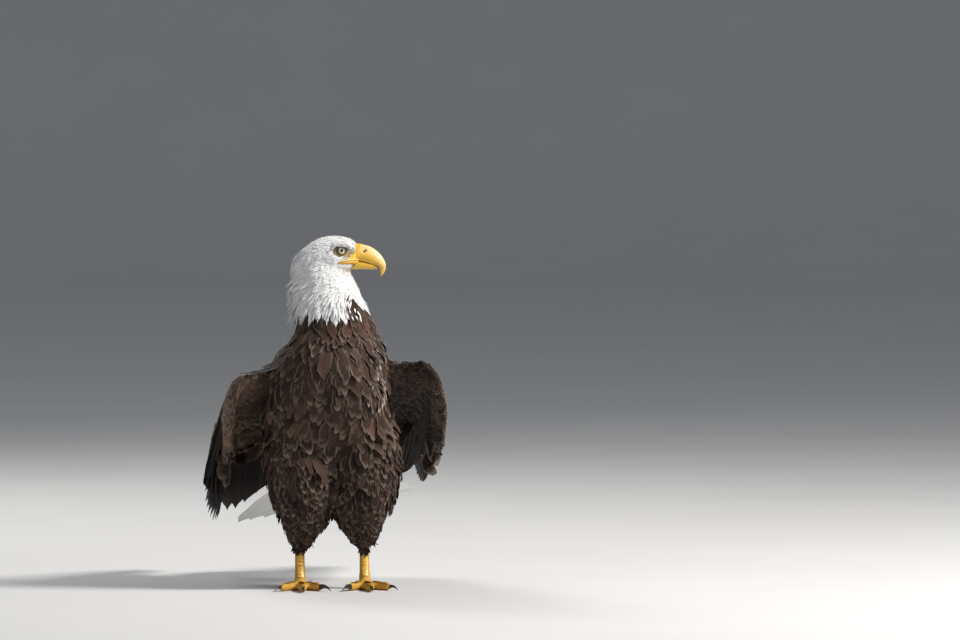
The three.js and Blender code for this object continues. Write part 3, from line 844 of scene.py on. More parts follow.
def vane_group():
    """Colour, roughness and height of a feather's vane: barbs, shaft and paler edges."""
    tree, given, out = group(
        "Feather vane",
        [
            ("Vane", "Vector", None),
            ("Colour", "Color", (0.5, 0.5, 0.5, 1)),
            ("Edge Colour", "Color", (0.8, 0.8, 0.8, 1)),
            ("Fringe", "Float", 0.0),
            ("Barbs", "Float", 40.0),
            ("Shaft", "Float", 0.3),
            ("Contrast", "Float", 0.3),
        ],
        [("Colour", "Color"), ("Roughness", "Float"), ("Height", "Float")],
    )

    def times(a, b):
        return calc(tree, "MULTIPLY", a, b)

    def less(a, b):
        return calc(tree, "SUBTRACT", a, b)

    def plus(a, b):
        return calc(tree, "ADD", a, b)

    across, along, _ = node(tree, "SeparateXYZ", {0: given["Vane"]}).outputs
    side = calc(tree, "ABSOLUTE", calc(tree, "MULTIPLY_ADD", across, 2.0, -1.0))
    sway = noise(tree, given["Vane"], 7.0, 2.0)
    slant = plus(less(along, times(side, 0.34)), times(sway, 0.10))
    barb = calc(tree, "SINE", times(slant, times(given["Barbs"], 6.283)))
    barb = calc(tree, "MULTIPLY_ADD", barb, 0.5, 0.5)
    shaft = smooth_step(tree, side, 0.09, 0.02)
    rim = smooth_step(tree, plus(side, times(sway, 0.3)), 0.78, 1.08)
    end = smooth_step(tree, plus(along, times(sway, 0.16)), 0.86, 1.04)
    edge = times(calc(tree, "MAXIMUM", rim, end), given["Fringe"])
    colour = mixed(tree, given["Colour"], given["Edge Colour"], edge)
    dark = less(1.0, times(less(1.0, barb), given["Contrast"]))
    dark = times(dark, less(1.0, times(shaft, given["Shaft"])))
    feed(tree, out["Colour"], shaded(tree, colour, dark))
    feed(tree, out["Roughness"], plus(less(0.72, times(shaft, 0.3)), times(barb, 0.12)))
    feed(tree, out["Height"], plus(barb, times(shaft, 2.0)))


def horn_group():
    """Horn: cloudy tint and fine pits, from a piece's own place."""
    tree, given, out = group(
        "Horn grain",
        [("Place", "Vector", None), ("Colour", "Color", (0.8, 0.6, 0.2, 1)), ("Stain", "Color", (0.5, 0.4, 0.2, 1))],
        [("Colour", "Color"), ("Roughness", "Float"), ("Height", "Float")],
    )
    cloud, fine = noise(tree, given["Place"], 90.0, 4.0), noise(tree, given["Place"], 900.0, 3.0)
    stain = calc(tree, "MULTIPLY", smooth_step(tree, cloud, 0.45, 0.75), 0.6)
    feed(tree, out["Colour"], mixed(tree, given["Colour"], given["Stain"], stain))
    feed(tree, out["Roughness"], calc(tree, "MULTIPLY_ADD", fine, 0.22, 0.24))
    feed(tree, out["Height"], calc(tree, "ADD", cloud, calc(tree, "MULTIPLY", fine, 0.35)))


def new_material(name, **finish):
    """A new material with one Principled shader. Returns the material, its tree and the shader."""
    made = bpy.data.materials.new(name)
    made.use_nodes = True
    shader = made.node_tree.nodes["Principled BSDF"]
    for key, value in finish.items():
        shader.inputs[key.replace("_", " ")].default_value = value
    return made, made.node_tree, shader


def grouped(tree, shader, group_name, inputs, strength, distance):
    """Feeds a shader's colour, roughness and bump from one of the groups."""
    one = tree.nodes.new("ShaderNodeGroup")
    one.node_tree = bpy.data.node_groups[group_name]
    for key, value in inputs.items():
        feed(tree, one.inputs[key], value)
    feed(tree, shader.inputs["Base Color"], one.outputs["Colour"])
    feed(tree, shader.inputs["Roughness"], one.outputs["Roughness"])
    raised(tree, shader, one.outputs["Height"], strength, distance)


def feather_material(name, edge, barbs, shaft, contrast, strength=0.5, distance=0.0005, **finish):
    """Feathers in the colours stored with each, with edges of one paler colour."""
    made, tree, shader = new_material(name, **finish)
    inputs = {
        "Vane": node(tree, "UVMap", uv_map="Vane").outputs[0],
        "Colour": stored(tree, "plumage"),
        "Fringe": stored(tree, "fringe", "Fac"),
        "Edge Colour": (*edge, 1),
        "Barbs": barbs,
        "Shaft": shaft,
        "Contrast": contrast,
    }
    grouped(tree, shader, "Feather vane", inputs, strength, distance)
    return made


def skin_material():
    """Bare skin: the plumage's tint under the feathers, and scales where it is bare."""
    made, tree, shader = new_material("Skin", Roughness=0.6)
    place, scaly = object_place(tree), stored(tree, "scaly", "Fac")
    cells = node(tree, "TexVoronoi", {"Vector": place, "Scale": 520.0}, feature="DISTANCE_TO_EDGE").outputs[0]
    seam = calc(tree, "MULTIPLY", smooth_step(tree, cells, 0.12, 0.0), scaly)
    cloud = noise(tree, place, 160.0, 4.0)
    worn = mixed(tree, stored(tree, "plumage"), (0.30, 0.17, 0.03, 1), calc(tree, "MULTIPLY", seam, 0.7))
    feed(tree, shader.inputs["Base Color"], shaded(tree, worn, spanned(tree, cloud, 0.72, 1.12)))
    plates = calc(tree, "MULTIPLY", smooth_step(tree, cells, 0.0, 0.2), scaly)
    raised(tree, shader, calc(tree, "ADD", plates, cloud), 0.5, 0.0006)
    return made


def horn_material(name, colour, stain, **finish):
    """Horn of one colour, or of the colours stored under a name."""
    made, tree, shader = new_material(name, **finish)
    tint = stored(tree, colour) if isinstance(colour, str) else (*colour, 1)
    inputs = {"Place": object_place(tree), "Colour": tint, "Stain": (*stain, 1)}
    grouped(tree, shader, "Horn grain", inputs, 0.25, 0.0006)
    return made


# Colours of the eye from the middle of the gaze outwards; distance in mm times this scale gives the place.
EYE_SCALE = 0.13
EYE_RINGS = [
    (0.0, (0.002, 0.002, 0.002)),
    (0.27, (0.003, 0.003, 0.002)),
    (0.30, (0.20, 0.16, 0.07)),
    (0.36, (0.70, 0.67, 0.52)),
    (0.55, (0.86, 0.84, 0.72)),
    (0.62, (0.52, 0.45, 0.22)),
    (0.67, (0.035, 0.028, 0.010)),
    (1.0, (0.10, 0.075, 0.02)),
]


def eye_material():
    """An eyeball ringed by its distance from the middle of the gaze: pupil, pale iris, dark rim."""
    finish = {"Specular_IOR_Level": 0.3, "Coat_Weight": 0.25, "Coat_Roughness": 0.03}
    made, tree, shader = new_material("Eye", Roughness=0.08, **finish)
    streak = noise(tree, stored(tree, "turn", "Vector"), 9.0, 3.0)
    fleck = noise(tree, object_place(tree), 1500.0, 2.0)
    wander = calc(tree, "MULTIPLY", calc(tree, "SUBTRACT", streak, 0.5), 0.25)
    off = calc(tree, "ADD", stored(tree, "off_axis", "Fac"), wander)
    rings = node(tree, "ValToRGB", {0: calc(tree, "MULTIPLY", off, EYE_SCALE)})
    elements = rings.color_ramp.elements
    while len(elements) < len(EYE_RINGS):
        elements.new(0.5)
    for element, (at, colour) in zip(elements, EYE_RINGS):
        element.position, element.color = at, (*colour, 1)
    feed(tree, shader.inputs["Base Color"], shaded(tree, rings.outputs[0], spanned(tree, fleck, 0.86, 1.08)))
    return made


def make_materials():
    """Every material of the eagle, by the names its pieces ask for."""
    vane_group()
    horn_group()
    brown = {"barbs": 14.0, "shaft": 0.35, "contrast": 0.30, "Specular_IOR_Level": 0.2}
    return {
        "skin": skin_material(),
        "white": feather_material("White plumage", WHITE_EDGE, 9.0, 0.08, 0.10, 0.35, 0.0004, Sheen_Weight=0.15),
        "brown": feather_material("Brown plumage", (0.21, 0.155, 0.12), **brown),
        "flecked": feather_material("Flecked plumage", (0.50, 0.46, 0.42), **brown),
        "wing": feather_material("Wing coverts", (0.33, 0.265, 0.21), **brown),
        "flight": feather_material("Flight feathers", (0.085, 0.07, 0.062), 110.0, 0.2, 0.25, distance=0.0004,
                                   Specular_IOR_Level=0.2),
        "tail": feather_material("Tail feathers", WHITE_EDGE, 90.0, 0.12, 0.10, 0.4, 0.0004),
        "bill": horn_material("Bill", "tint", (0.55, 0.34, 0.10)),
        "claw": horn_material("Claws", (0.020, 0.018, 0.017), (0.07, 0.06, 0.05)),
        "lid": horn_material("Eyelids", (0.26, 0.195, 0.05), (0.13, 0.10, 0.035)),
        "eye": eye_material(),
        "scute": horn_material("Foot scales", (0.78, 0.45, 0.06), (0.48, 0.27, 0.05)),
    }


# ---- Plumage ------------------------------------------------------------------------------------
def colours(points, white, seed):
    """Colour and fringe of each feather rooted at points, all of them white or all brown, with painted light and shade
    on the breast and wings.
    """
    dice = np.random.default_rng(seed)
    count = len(points)
    x, y, z = in_bird(points).T
    u, s, w = to_head(points)
    # rim is 1 on the outer rim of each wing, which is painted lighter as if lit.
    wing, rim = z > 130, np.maximum(ramp(x, 155, 182), ramp(-x, 95, 135))
    tone = dice.normal(0, 0.27, count) + 0.2 * patches(points, 0.035, 8) + 0.3 * patches(points, 0.08, 9)
    # Paler high on the breast and darker low on the belly: painted light from above.
    brown = blend(BROWN * 1.35, BROWN * 0.75, ramp(-z, -300, -180)[:, None]) * np.exp(tone)[:, None]
    brown = np.where((dice.random(count) < 0.14)[:, None], brown * 0.55, brown)
    pale = WHITE * (1 + dice.normal(0, 0.035, (count, 1)))
    pale = pale * blend(np.ones(3), np.array([0.76, 0.80, 0.86]), dice.random((count, 1)) ** 3)
    lore = lore_place(points)
    pale = blend(pale, LORE_FEATHER * np.exp(dice.normal(-0.1, 0.3, (count, 1))), 0.95 * lore[:, None])
    chin = bump((u - 14, 11), (w + 30, 9)) * ramp(patches(points, 0.006, 31), -0.8, 0.2)
    pale = blend(pale, CHIN_STAIN * np.exp(dice.normal(0, 0.35, (count, 1))), 0.9 * chin[:, None])
    # Painted shadow under the brow.
    pale = blend(pale, BROW_SHADE, 0.92 * brow_shade(points)[:, None])
    if white:
        return np.clip(pale, 0, 0.95), 0.25 * (1 - lore)
    # Painted shade darkens the left wing's inner coverts; painted highlight lightens the rim.
    shade = np.where(wing, blend(1, 0.45, ramp(x, 95, 125)) * blend(1, 2.2, rim), 1)
    fringe = np.clip(0.5 + 0.3 * dice.normal(size=count), 0.05, 1)
    # Paler fringes on the rim: partly the coverts' own pale edges, partly painted highlight.
    return brown * shade[:, None], fringe * np.where((np.abs(x) > 95) & wing, 0.45 + 0.55 * rim, 1)


def locks(points, ways, normals, spacing, pull, seed):
    """Draws neighbouring feathers towards one line, so that they form locks. Returns the pull and each lock's lift."""
    heads = points[spread(points, spacing * MM, seed)]
    tree = nearby(heads)
    own = np.array([tree.find(Vector(p))[1] for p in points])
    off = without(without(heads[own] - points, ways), normals)
    return pull * off, np.random.default_rng(seed).uniform(0.6, 1.6, len(heads))[own]


def coat(name, where, sizes, pattern, material, seed, spacing=0.55, white=False, stray=0.07, drift=0.0,
         lock=None, uneven=(0.75, 1.25), **shape):
    """Lays one kind of feather over part of the skin. Sizes gives lengths, widths and lifts in millimetres."""
    settings = bpy.context.scene.eagle_plumage
    indices = np.flatnonzero(where)
    length, width, lift = sizes(body["points"][indices])
    gap = width * MM * spacing * settings.spacing
    pick = spread(body["points"][indices], gap, seed)
    roots = indices[pick]
    points, normals, part = (body[key][roots] for key in ("points", "normals", "part"))
    dice = np.random.default_rng(seed + 1)
    length = length[pick] * MM * dice.uniform(0.86, 1.12, len(roots))
    width = width[pick] * MM * dice.uniform(0.88, 1.1, len(roots))
    lift = lift[pick] * settings.lift * MM * dice.uniform(*uneven, len(roots))
    ways = flow(points, normals, part)
    turn = dice.normal(0, stray, len(roots)) + drift * patches(points, 0.05, seed + 3)
    ways = unit(ways + turn[:, None] * np.cross(normals, ways))
    if lock:
        shape["pull"], rise = locks(points, ways, normals, *lock, seed + 4)
        lift = lift * rise
    slot = "white_plumage" if white else "brown_plumage"
    shades, fringes = colours(points, white, seed + 2)
    lay(name, slot, material, pattern, roots, ways, length, width, lift, shades, fringes, seed, **shape)


def head_sizes(points):
    """Small by the bill and the eye, and longer and narrower towards the nape."""
    u, s, w = to_head(points)
    far = np.sqrt((u - 25) ** 2 + (w + 5) ** 2 + s**2)
    eye = np.sqrt((u - EYE_U) ** 2 + (w + 0.4) ** 2 + (np.abs(s) - EYE_SIDE) ** 2)
    length = np.clip(4.2 + 0.07 * far + 0.0013 * far**2, 4.5, 48) * blend(0.55, 1, ramp(eye, 9, 22))
    return length, length * np.clip(0.48 - 0.0026 * far, 0.17, 1), np.clip(0.075 * length, 0.35, 3.6)


def nape_sizes(points):
    """The hackles: longer, narrower and looser than on the head."""
    length, width, lift = head_sizes(points)
    u, s, w = to_head(points)
    return length * 1.12, width * 0.82, lift * blend(1.5, 3.0, ramp(-u, 25, 80))


def trunk_sizes(points):
    """Broad and long on breast and back, shorter under the collar."""
    x, y, z = in_bird(points).T
    back = ramp(y, 30, 110)
    length = blend(52, 56, back) - 14 * ramp(z, 370, 430)
    return length, blend(22, 26, back) - 7 * ramp(z, 360, 430), blend(6, 5, back) - 3.5 * ramp(z, 370, 425)


def fleck_sizes(points):
    """The narrow, loose feathers of the pale flecks."""
    length, width, lift = trunk_sizes(points)
    return length * 0.85, width * 0.5, lift * 1.35


def thigh_sizes(points):
    """Short at the shank and longer up the thigh."""
    z = in_bird(points)[:, 2]
    return blend(17, 38, ramp(z, 60, 200)), blend(9, 16, ramp(z, 60, 200)), blend(1.5, 5, ramp(z, 60, 160))


def wing_sizes(points):
    """Longer from the leading edge back."""
    share, x = np.zeros(len(points)), in_bird(points)[:, 0]
    for name, wing in WINGS.items():
        here = np.sign(x) == wing["mirror"]
        if here.any():
            share[here] = wing_place(points[here], name)[1]
    return 13 + 52 * share, 8 + 15 * share, 1.2 + 1.8 * share


def build_coats():
    """Shares the skin out between the kinds of feather and lays each kind as one piece."""
    points, part = body["points"], body["part"]
    x, y, z = in_bird(points).T
    u, s, w = to_head(points)
    small, body_feather = vane_pattern(2, 3, SCALE, 0.1), vane_pattern(6, 7, CONTOUR, 0.2)
    hackle, covert = vane_pattern(4, 7, HACKLE, 0.05), vane_pattern(4, 5, COVERT, 0.12)
    trunk, mantle = part == TRUNK, np.isin(part, (NECK, TRUNK))
    head = (part == HEAD_PART) & ~face_bare(points)
    face, nape = head & (u > -22), head & (u <= -60)
    thin = lore_place(points) > np.random.default_rng(55).uniform(0.1, 1.3, len(points))
    rump = trunk & (rump_white(points) > 0.5)
    collar = mantle & (white_above(points, 0.88 * nape_sizes(points)[0]) > 0.5)
    dark = mantle & (white_above(points, 13) < 0.5) & ~rump
    fleck = dark & (y < 0) & (np.abs(0.99 * x - 0.12 * y - 66) < 11) & (z > 325) & (z < 415)
    fleck = fleck & (np.random.default_rng(56).random(len(points)) < 0.45)
    plain = {"frayed": 0.07, "uneven": (0.7, 1.35)}
    loose = {**plain, "stray": 0.14, "drift": 0.4, "lock": (30, 0.35)}
    ragged = {"white": True, "arch": 0.35, "uneven": (0.5, 1.6), "rise": 1.5, "spacing": 0.62}
    coat("face_feathers", face & ~thin, head_sizes, small, "white", 101, spacing=0.5, white=True, arch=0.18)
    coat("crown_feathers", head & ~face & ~nape, head_sizes, hackle, "white", 103, spacing=0.5, white=True,
         arch=0.25, lock=(6, 0.6))
    coat("nape_hackles", nape, nape_sizes, hackle, "white", 104, lock=(8, 0.75), **ragged)
    coat("neck_hackles", collar, nape_sizes, hackle, "white", 105, lock=(9, 0.75), **ragged)
    coat("flecked_feathers", fleck, fleck_sizes, body_feather, "flecked", 121, spacing=1.0, **loose)
    coat("breast_feathers", dark & (y < 60), trunk_sizes, body_feather, "brown", 107, spacing=0.46, **loose)
    coat("back_feathers", dark & (y >= 60), trunk_sizes, body_feather, "brown", 109, spacing=0.42, **loose)
    coat("rump_feathers", rump, trunk_sizes, body_feather, "white", 111, spacing=0.42, white=True, arch=0.35)
    for side, here in (("left", x >= 0), ("right", x < 0)):
        thigh, wing = (part == THIGH) & here, np.isin(part, (ARM, HAND)) & here
        coat(f"{side}_thigh_feathers", thigh, thigh_sizes, body_feather, "brown", 113 + here[0], spacing=0.44, **loose)
        coat(f"{side}_wing_coverts", wing, wing_sizes, covert, "wing", 117 + here[0], spacing=0.45, **plain)


# ---- Flight and tail feathers -------------------------------------------------------------------
# Columns of a quill's vane, close together at its shaft, and its half-width at shares of its length.
ACROSS = np.array([-1, -0.8, -0.5, -0.2, -0.045, 0.0, 0.045, 0.22, 0.55, 0.82, 1])
QUILL_OUTLINE = [
    (0, 0.05), (0.06, 0.1), (0.16, 0.6), (0.32, 0.95), (0.7, 1), (0.84, 0.9), (0.92, 0.68), (0.97, 0.4), (1, 0.08),
]
QUILL_ROWS = 18
VANE_THICKNESS = 0.0005


def quills(name, root, along, dorsal, lead, length, width, shades, fringe, seed, narrow, tilt=8.0, sweep=0.0,
           notch=0.0):
    """Long vaned feathers as one piece. Positions in millimetres in the bird's frame; lead is the leading side."""
    dice = np.random.default_rng(seed)
    count = len(root)
    across, up, faces = pattern_grid(len(ACROSS) - 1, QUILL_ROWS)
    s = np.interp(across, np.linspace(0, 1, len(ACROSS)), ACROSS)[None, :]
    t = (1 - (1 - up) ** 1.5)[None, :]
    share = np.where(s > 0, narrow, 1 - narrow)
    emargination = np.broadcast_to(notch, count)[:, None] * ramp(t, 0.45, 0.62) * 0.45
    half = width[:, None] * share * np.interp(t, *np.array(QUILL_OUTLINE).T) * (1 - emargination)
    lean = np.radians(tilt + dice.normal(0, 0.7, count))[:, None]
    side = unit(lead * np.cos(lean) + dorsal * np.sin(lean))
    top = unit(np.cross(along, side))
    top = top * np.sign(np.sum(top * dorsal, axis=1, keepdims=True))
    long = (length * (1 + dice.normal(0, 0.008, count)))[:, None]
    wave = 0.012 * np.sin(t * 19 + dice.uniform(0, 6, (count, 1))) * np.abs(s) * ramp(t, 0.2, 0.6)
    forward = long * (t - 0.03 * s**2 * t) - 4 * np.abs(s)
    slide = s * half - sweep * long * t**2
    shaft = 0.9 * bump((s, 0.06)) * (1 - 0.75 * t)
    rise = shaft - 0.10 * half * s**2 + wave * width[:, None]
    ways = np.stack([along, side, top], axis=1)
    points = root[:, None] + np.stack([forward, slide, rise], axis=-1) @ ways
    vane = vane_places(s, t, count)
    cell = np.stack([(np.arange(count) + 0.08) / count, np.full(count, 0.04)], axis=1)
    bake = cell[:, None] + vane * [0.84 / count, 0.92]
    # Darker towards the root, where the coverts overlie it: painted shade.
    tint = shades[:, None] * (1 - 0.2 * ramp(t, 0.3, 0.0))[..., None]
    piece = vane_mesh(name, placed(points), faces, bake, vane, tint, np.full(count, fringe))
    return applied(piece, "SOLIDIFY", thickness=VANE_THICKNESS, offset=0.0)


def wing_quills(side, kind):
    """The primaries or the secondaries of one wing."""
    hand = kind == "primaries"
    count = PRIMARIES if hand else SECONDARIES
    share = np.linspace(0, 1, count)
    if hand:
        _, root, along, length = hand_lines(side, np.linspace(1.11, LAST_RANK, count))
        width, dark, narrow, notch = blend(52, 30, share**1.5), (0.011, 0.010, 0.012), 0.3, ramp(share, 0.35, 0.7)
    else:
        _, root, along, length = wing_lines(side, np.linspace(-0.42, 0.94, count))
        width, dark, narrow, notch = blend(56, 50, share), (0.019, 0.014, 0.013), 0.42, 0.0
    spanwise = np.gradient(root, axis=0)
    mirror = WINGS[side]["mirror"]
    dorsal = unit(mirror * np.cross(spanwise, along))
    lead = np.cross(along, dorsal)
    lead = unit(lead * np.sign(np.sum(lead * spanwise, axis=1, keepdims=True)))
    dice = np.random.default_rng(200 + count + mirror)
    shades = dark * np.exp(dice.normal(0, 0.12, (count, 1)))
    piece = quills(f"{side}_{kind}_feathers", root, along, dorsal, lead, length, width, shades, 0.5,
                   210 + count + mirror, narrow, sweep=0.01, notch=notch)
    return finished(piece, "flight_feathers", f"{side}_{kind}", material="flight")


def tail_quills():
    """The fan of the tail, the middle feathers on top."""
    root, along, length = tail_lines()
    share = np.linspace(-1, 1, RECTRICES)
    turn = np.array(Matrix.Rotation(-TAIL_ROLL, 3, "Y"))
    up = unit(np.cross(np.cross(along, turn @ UP), along))
    outward = unit(np.cross(up, along))
    outward = outward * np.sign(outward[:, :1] * share[:, None])
    root = root + up * (2.4 * (1 - np.abs(share)))[:, None]
    shades = WHITE * (1 + np.random.default_rng(301).normal(0, 0.02, (RECTRICES, 1)))
    width = np.full(RECTRICES, 56.0)
    piece = quills("tail_feathers", root, along, up, outward, length, width, shades, 0.3, 303, 0.42, tilt=5.0)
    return finished(piece, "white_plumage", "tail", material="tail")


# ---- Bill ---------------------------------------------------------------------------------------
# u and w of the ridge, u and w of the cutting edge, half-width: from the cere to the hook's tip.
UPPER_BILL = [
    [21, 10.2, 6, -17.5, 15.5],
    [30, 9.6, 19, -17.6, 14.6],
    [42, 7.2, 34, -19.4, 12.4],
    [54, 0.6, 46.5, -22.6, 10.4],
    [63.5, -8.6, 55, -25.4, 8.2],
    [69.2, -19, 59.8, -27.4, 6],
    [70.2, -28, 61.2, -30.6, 4.3],
    [67.4, -36, 61.8, -35.6, 2.7],
    [62.6, -41.6, 61, -40.4, 0.9],
]
# u, top, bottom and half-width of the lower bill.
LOWER_BILL = [
    [4, -15, -31, 13],
    [20, -15, -30.6, 12.2],
    [34, -17, -30, 10.4],
    [47, -20, -30.4, 8],
    [55.5, -24, -30.4, 5],
    [58.6, -27.4, -29.4, 2.4],
]
# u and w of the corner of the mouth, from the bill back.
GAPE = [[28, -16.2], [20, -16.0], [10, -17.0], [2, -18.4], [-3.5, -19.8]]
BILL_YELLOW = np.array([0.83, 0.50, 0.055])
# Painted highlight colour for the top of the bill.
BILL_TOP_HIGHLIGHT = np.array([0.80, 0.66, 0.36])
# Painted shade along the mouth line.
MOUTH_LINE_SHADE = np.array([0.10, 0.05, 0.012])


def nostril(u, w):
    """How deep in the slanted nostril a place on the bill's side is."""
    along, across = 0.77 * (u - 37) + 0.64 * (w + 1.2), 0.64 * (u - 37) - 0.77 * (w + 1.2)
    return np.exp(-((along / 3.8) ** 4) - (across / 1.5) ** 2)


def upper_bill():
    """The upper half of the bill, with cere and nostrils, a painted highlight along its top, and painted shade in the
    nostrils and along the mouth line.
    """
    def shape(angle, t):
        top_u, top_w, edge_u, edge_w, half = through(UPPER_BILL, t * 0.999).T
        height = 0.5 + 0.5 * np.sin(angle)
        swell = np.abs(np.cos(angle)) ** 0.75 * (1.06 - 0.42 * height * height)
        u = blend(edge_u, top_u, height)
        w = blend(edge_w, top_w, height)
        s = np.sign(np.cos(angle)) * swell * half
        cere = 1 - ramp(u - 0.25 * (w + 5), 27.5, 29.5)
        w = w + 0.8 * cere * ramp(height, 0.6, 1)
        groove = bump((height - 0.2, 0.06)) * ramp(t, 0.1, 0.3)
        s = s * (1 + 0.035 * cere) * (1 - 0.26 * nostril(u, w)) * (1 - 0.03 * groove)
        return in_head(u, s, w)

    piece = tube("upper_bill_horn", 72, 84, shape)
    u, s, w = to_head(corners(piece.data))
    hole = ramp(nostril(u, w), 0.25, 0.6)[:, None]
    # Painted highlight along the top of the bill.
    ridge = ramp(w + 0.012 * (u - 20) ** 2, -6, 12)[:, None]
    cere = (1 - ramp(u - 0.25 * (w + 5), 27.0, 29.5))[:, None]
    tint = blend(blend(BILL_YELLOW, BILL_TOP_HIGHLIGHT, ridge * 0.8), CERE_YELLOW, cere)
    tint = tint * (1 - 0.35 * ramp(-w, 34, 43)[:, None])
    edge = np.interp(u, *np.array(UPPER_BILL)[:6, 2:4].T)
    # Painted shade along the mouth line under the upper bill.
    mouth = bump((w - edge - 0.2, 1.2)) * (1 - ramp(u, 54, 58))
    tint = blend(tint, MOUTH_LINE_SHADE, 0.92 * mouth[:, None])
    # Painted shade in the nostril.
    tint = blend(tint, np.array([0.02, 0.013, 0.006]), hole)
    set_values(piece.data, "tint", tint, "FLOAT_COLOR")
    return finished(piece, "horn", "upper_bill", material="bill")


def lower_bill():
    """The lower half, rounded below, with painted shade where the two halves meet."""
    def shape(angle, t):
        u, top, bottom, half = through(LOWER_BILL, t).T
        middle_w = (top + bottom) / 2
        side, up = (np.sign(v) * np.abs(v) ** 0.8 for v in (np.cos(angle), np.sin(angle)))
        return in_head(u, side * half * 0.985, middle_w + up * (top - bottom) / 2 * 0.985)

    piece = tube("lower_bill_horn", 48, 44, shape)
    u, s, w = to_head(corners(piece.data))
    tint = blend(BILL_YELLOW * 0.92, BILL_YELLOW * np.array([0.85, 0.8, 0.7]), ramp(-w, 22, 30)[:, None])
    top = np.interp(u, *np.array(LOWER_BILL)[:, :2].T)
    # Painted shade along the top, where the upper bill overhangs it.
    tint = blend(tint, MOUTH_LINE_SHADE, 0.9 * ramp(w - top, -3.2, -1.2)[:, None])
    set_values(piece.data, "tint", tint, "FLOAT_COLOR")
    return finished(piece, "horn", "lower_bill", material="bill")


def on_head(u, w, side, out):
    """The point out mm above the skin on one side of the head, found by looking in from that side."""
    start = in_head(u, side * 80, w)
    hit = body["tree"].ray_cast(Vector(start), Vector(-side * LEFT), 0.2)
    place = np.array(hit[0]) if hit[0] is not None else in_head(u, side * 12, w)
    return place + side * LEFT * out * MM


def gape(side, name):
    """The yellow corner of the mouth: two lips with painted shade in the groove between them."""
    def shape(angle, t):
        centre = np.array([on_head(u, w, side, 0.1) for u, w in through(GAPE, t)])
        high = 4.0 * (1 - 0.72 * t**1.3) * ramp(t, -0.12, 0.16)
        split = 1 - 0.55 * bump((np.sin(angle), 0.22)) * (np.cos(angle) > 0) * ramp(t, 0.0, 0.25)
        out = (1.9 - 0.8 * t) * np.cos(angle) * split * ramp(t, -0.06, 0.2)
        return centre + MM * (out[:, None] * side * LEFT + (high * np.sin(angle))[:, None] * UP)

    piece = tube(name, 28, 36, shape)
    u, s, w = to_head(corners(piece.data))
    # Painted shade in the groove between the lips.
    groove = bump((w - np.interp(u, *np.array(GAPE)[::-1].T), 0.7))[:, None]
    set_values(piece.data, "tint", CERE_YELLOW * (1 - groove * [0.78, 0.86, 0.9]), "FLOAT_COLOR")
    return finished(piece, "horn", material="bill")


# ---- Eyes ---------------------------------------------------------------------------------------
LID_WIDTH = 7.4
LID_HEIGHTS = 3.9, 5.3  # above the middle and below it
LID_TILT = math.radians(-12)


def eye_axes(side):
    """The middle of an eye in metres, the way it looks, and the forward and upward ways across it."""
    axis = unit(0.30 * FORWARD + side * 0.95 * LEFT + 0.02 * UP)
    fore = unit(without(FORWARD, axis))
    up = unit(np.cross(axis, fore))
    return HEAD + side * EYE_SIDE * LEFT * MM, axis, fore, up * np.sign(up @ UP)


def eyeball(side, name):
    """An eyeball with the bulge of its cornea. It stores the distance from the gaze, in mm, and the way round it."""
    centre, *axes = eye_axes(side)
    deselect()
    bpy.ops.mesh.primitive_uv_sphere_add(segments=64, ring_count=40, radius=EYE_RADIUS * 0.985 * MM)
    piece = bpy.context.object
    piece.name = piece.data.name = f"{name}_eyeball"
    at = corners(piece.data) / MM
    off = np.hypot(at[:, 0], at[:, 1])
    front = at[:, 2] > 0
    set_values(piece.data, "off_axis", np.where(front, off, 9.0))
    attribute = piece.data.attributes.new("turn", "FLOAT_VECTOR", "POINT")
    attribute.data.foreach_set("vector", np.ascontiguousarray(unit(at * [1, 1, 0]), np.float32).ravel())
    at[:, 2] += 0.55 * np.exp(-((off / 4.2) ** 4)) * front
    move_corners(piece.data, centre + MM * (at[:, [2, 0, 1]] @ np.array(axes)))
    return finished(close_seams(piece), "eyes", f"{name}_eye", material="eye")


def lids(side, name):
    """A ring of bare skin round the opening: it rolls over the eyeball and sinks back under the feathers."""
    centre, *axes = eye_axes(side)
    piece, turn, out = grid(f"{name}_eyelids", 72, 10)
    angle = turn * 2 * math.pi
    x, y = np.cos(angle), np.sin(angle)
    opening = 1 / np.sqrt((x / LID_WIDTH) ** 2 + (y / np.where(y > 0, *LID_HEIGHTS)) ** 2)
    rim = opening * (1 + 0.05 * np.abs(x) ** 6) - 0.3 + out * 3.6
    roll = np.sin(np.clip(out * 2.6, 0, 1) * math.pi / 2) * 0.75 - 2.6 * ramp(out, 0.35, 1)
    high = np.sqrt(np.maximum(EYE_RADIUS**2 * 1.01 - np.minimum(rim, 8.2) ** 2, 0)) + roll
    high = high + 0.5 * ramp(y, 0.1, 0.9) * (1 - out)
    ring = np.stack([high, rim * np.cos(angle + LID_TILT), rim * np.sin(angle + LID_TILT)], axis=1)
    move_corners(piece.data, centre + MM * (ring @ np.array(axes)))
    applied(close_seams(piece), "SOLIDIFY", thickness=0.0004, offset=-1.0)
    return finished(piece, "foot_skin", material="lid")


# ---- Feet ---------------------------------------------------------------------------------------
FEET = {"left": (58, 17), "right": (-46, 17)}
# Each toe: its name, its way in degrees from straight ahead, its reach and the bend radius of its claw.
TOES = [("inner", -34, 53, 24), ("middle", 2, 73, 19), ("outer", 40, 57, 16), ("hind", 176, 39, 26)]
TOE_RADIUS = 8
SOLE_DEPTH = 0.8
CLAW_RISE = math.radians(24)
CLAW_TIP_HEIGHT = 1.1
SCALE_YELLOW = np.array([0.78, 0.46, 0.06])
SCALE_OUTLINE = [(0, 0.9), (0.6, 1), (1, 0.92)]


def toe_way(side, swing):
    """Along a toe and across it."""
    angle = math.radians(swing) * WINGS[side]["mirror"]
    along = np.array([math.sin(angle), -math.cos(angle), 0.0])
    return along, np.array([-along[1], along[0], 0.0])


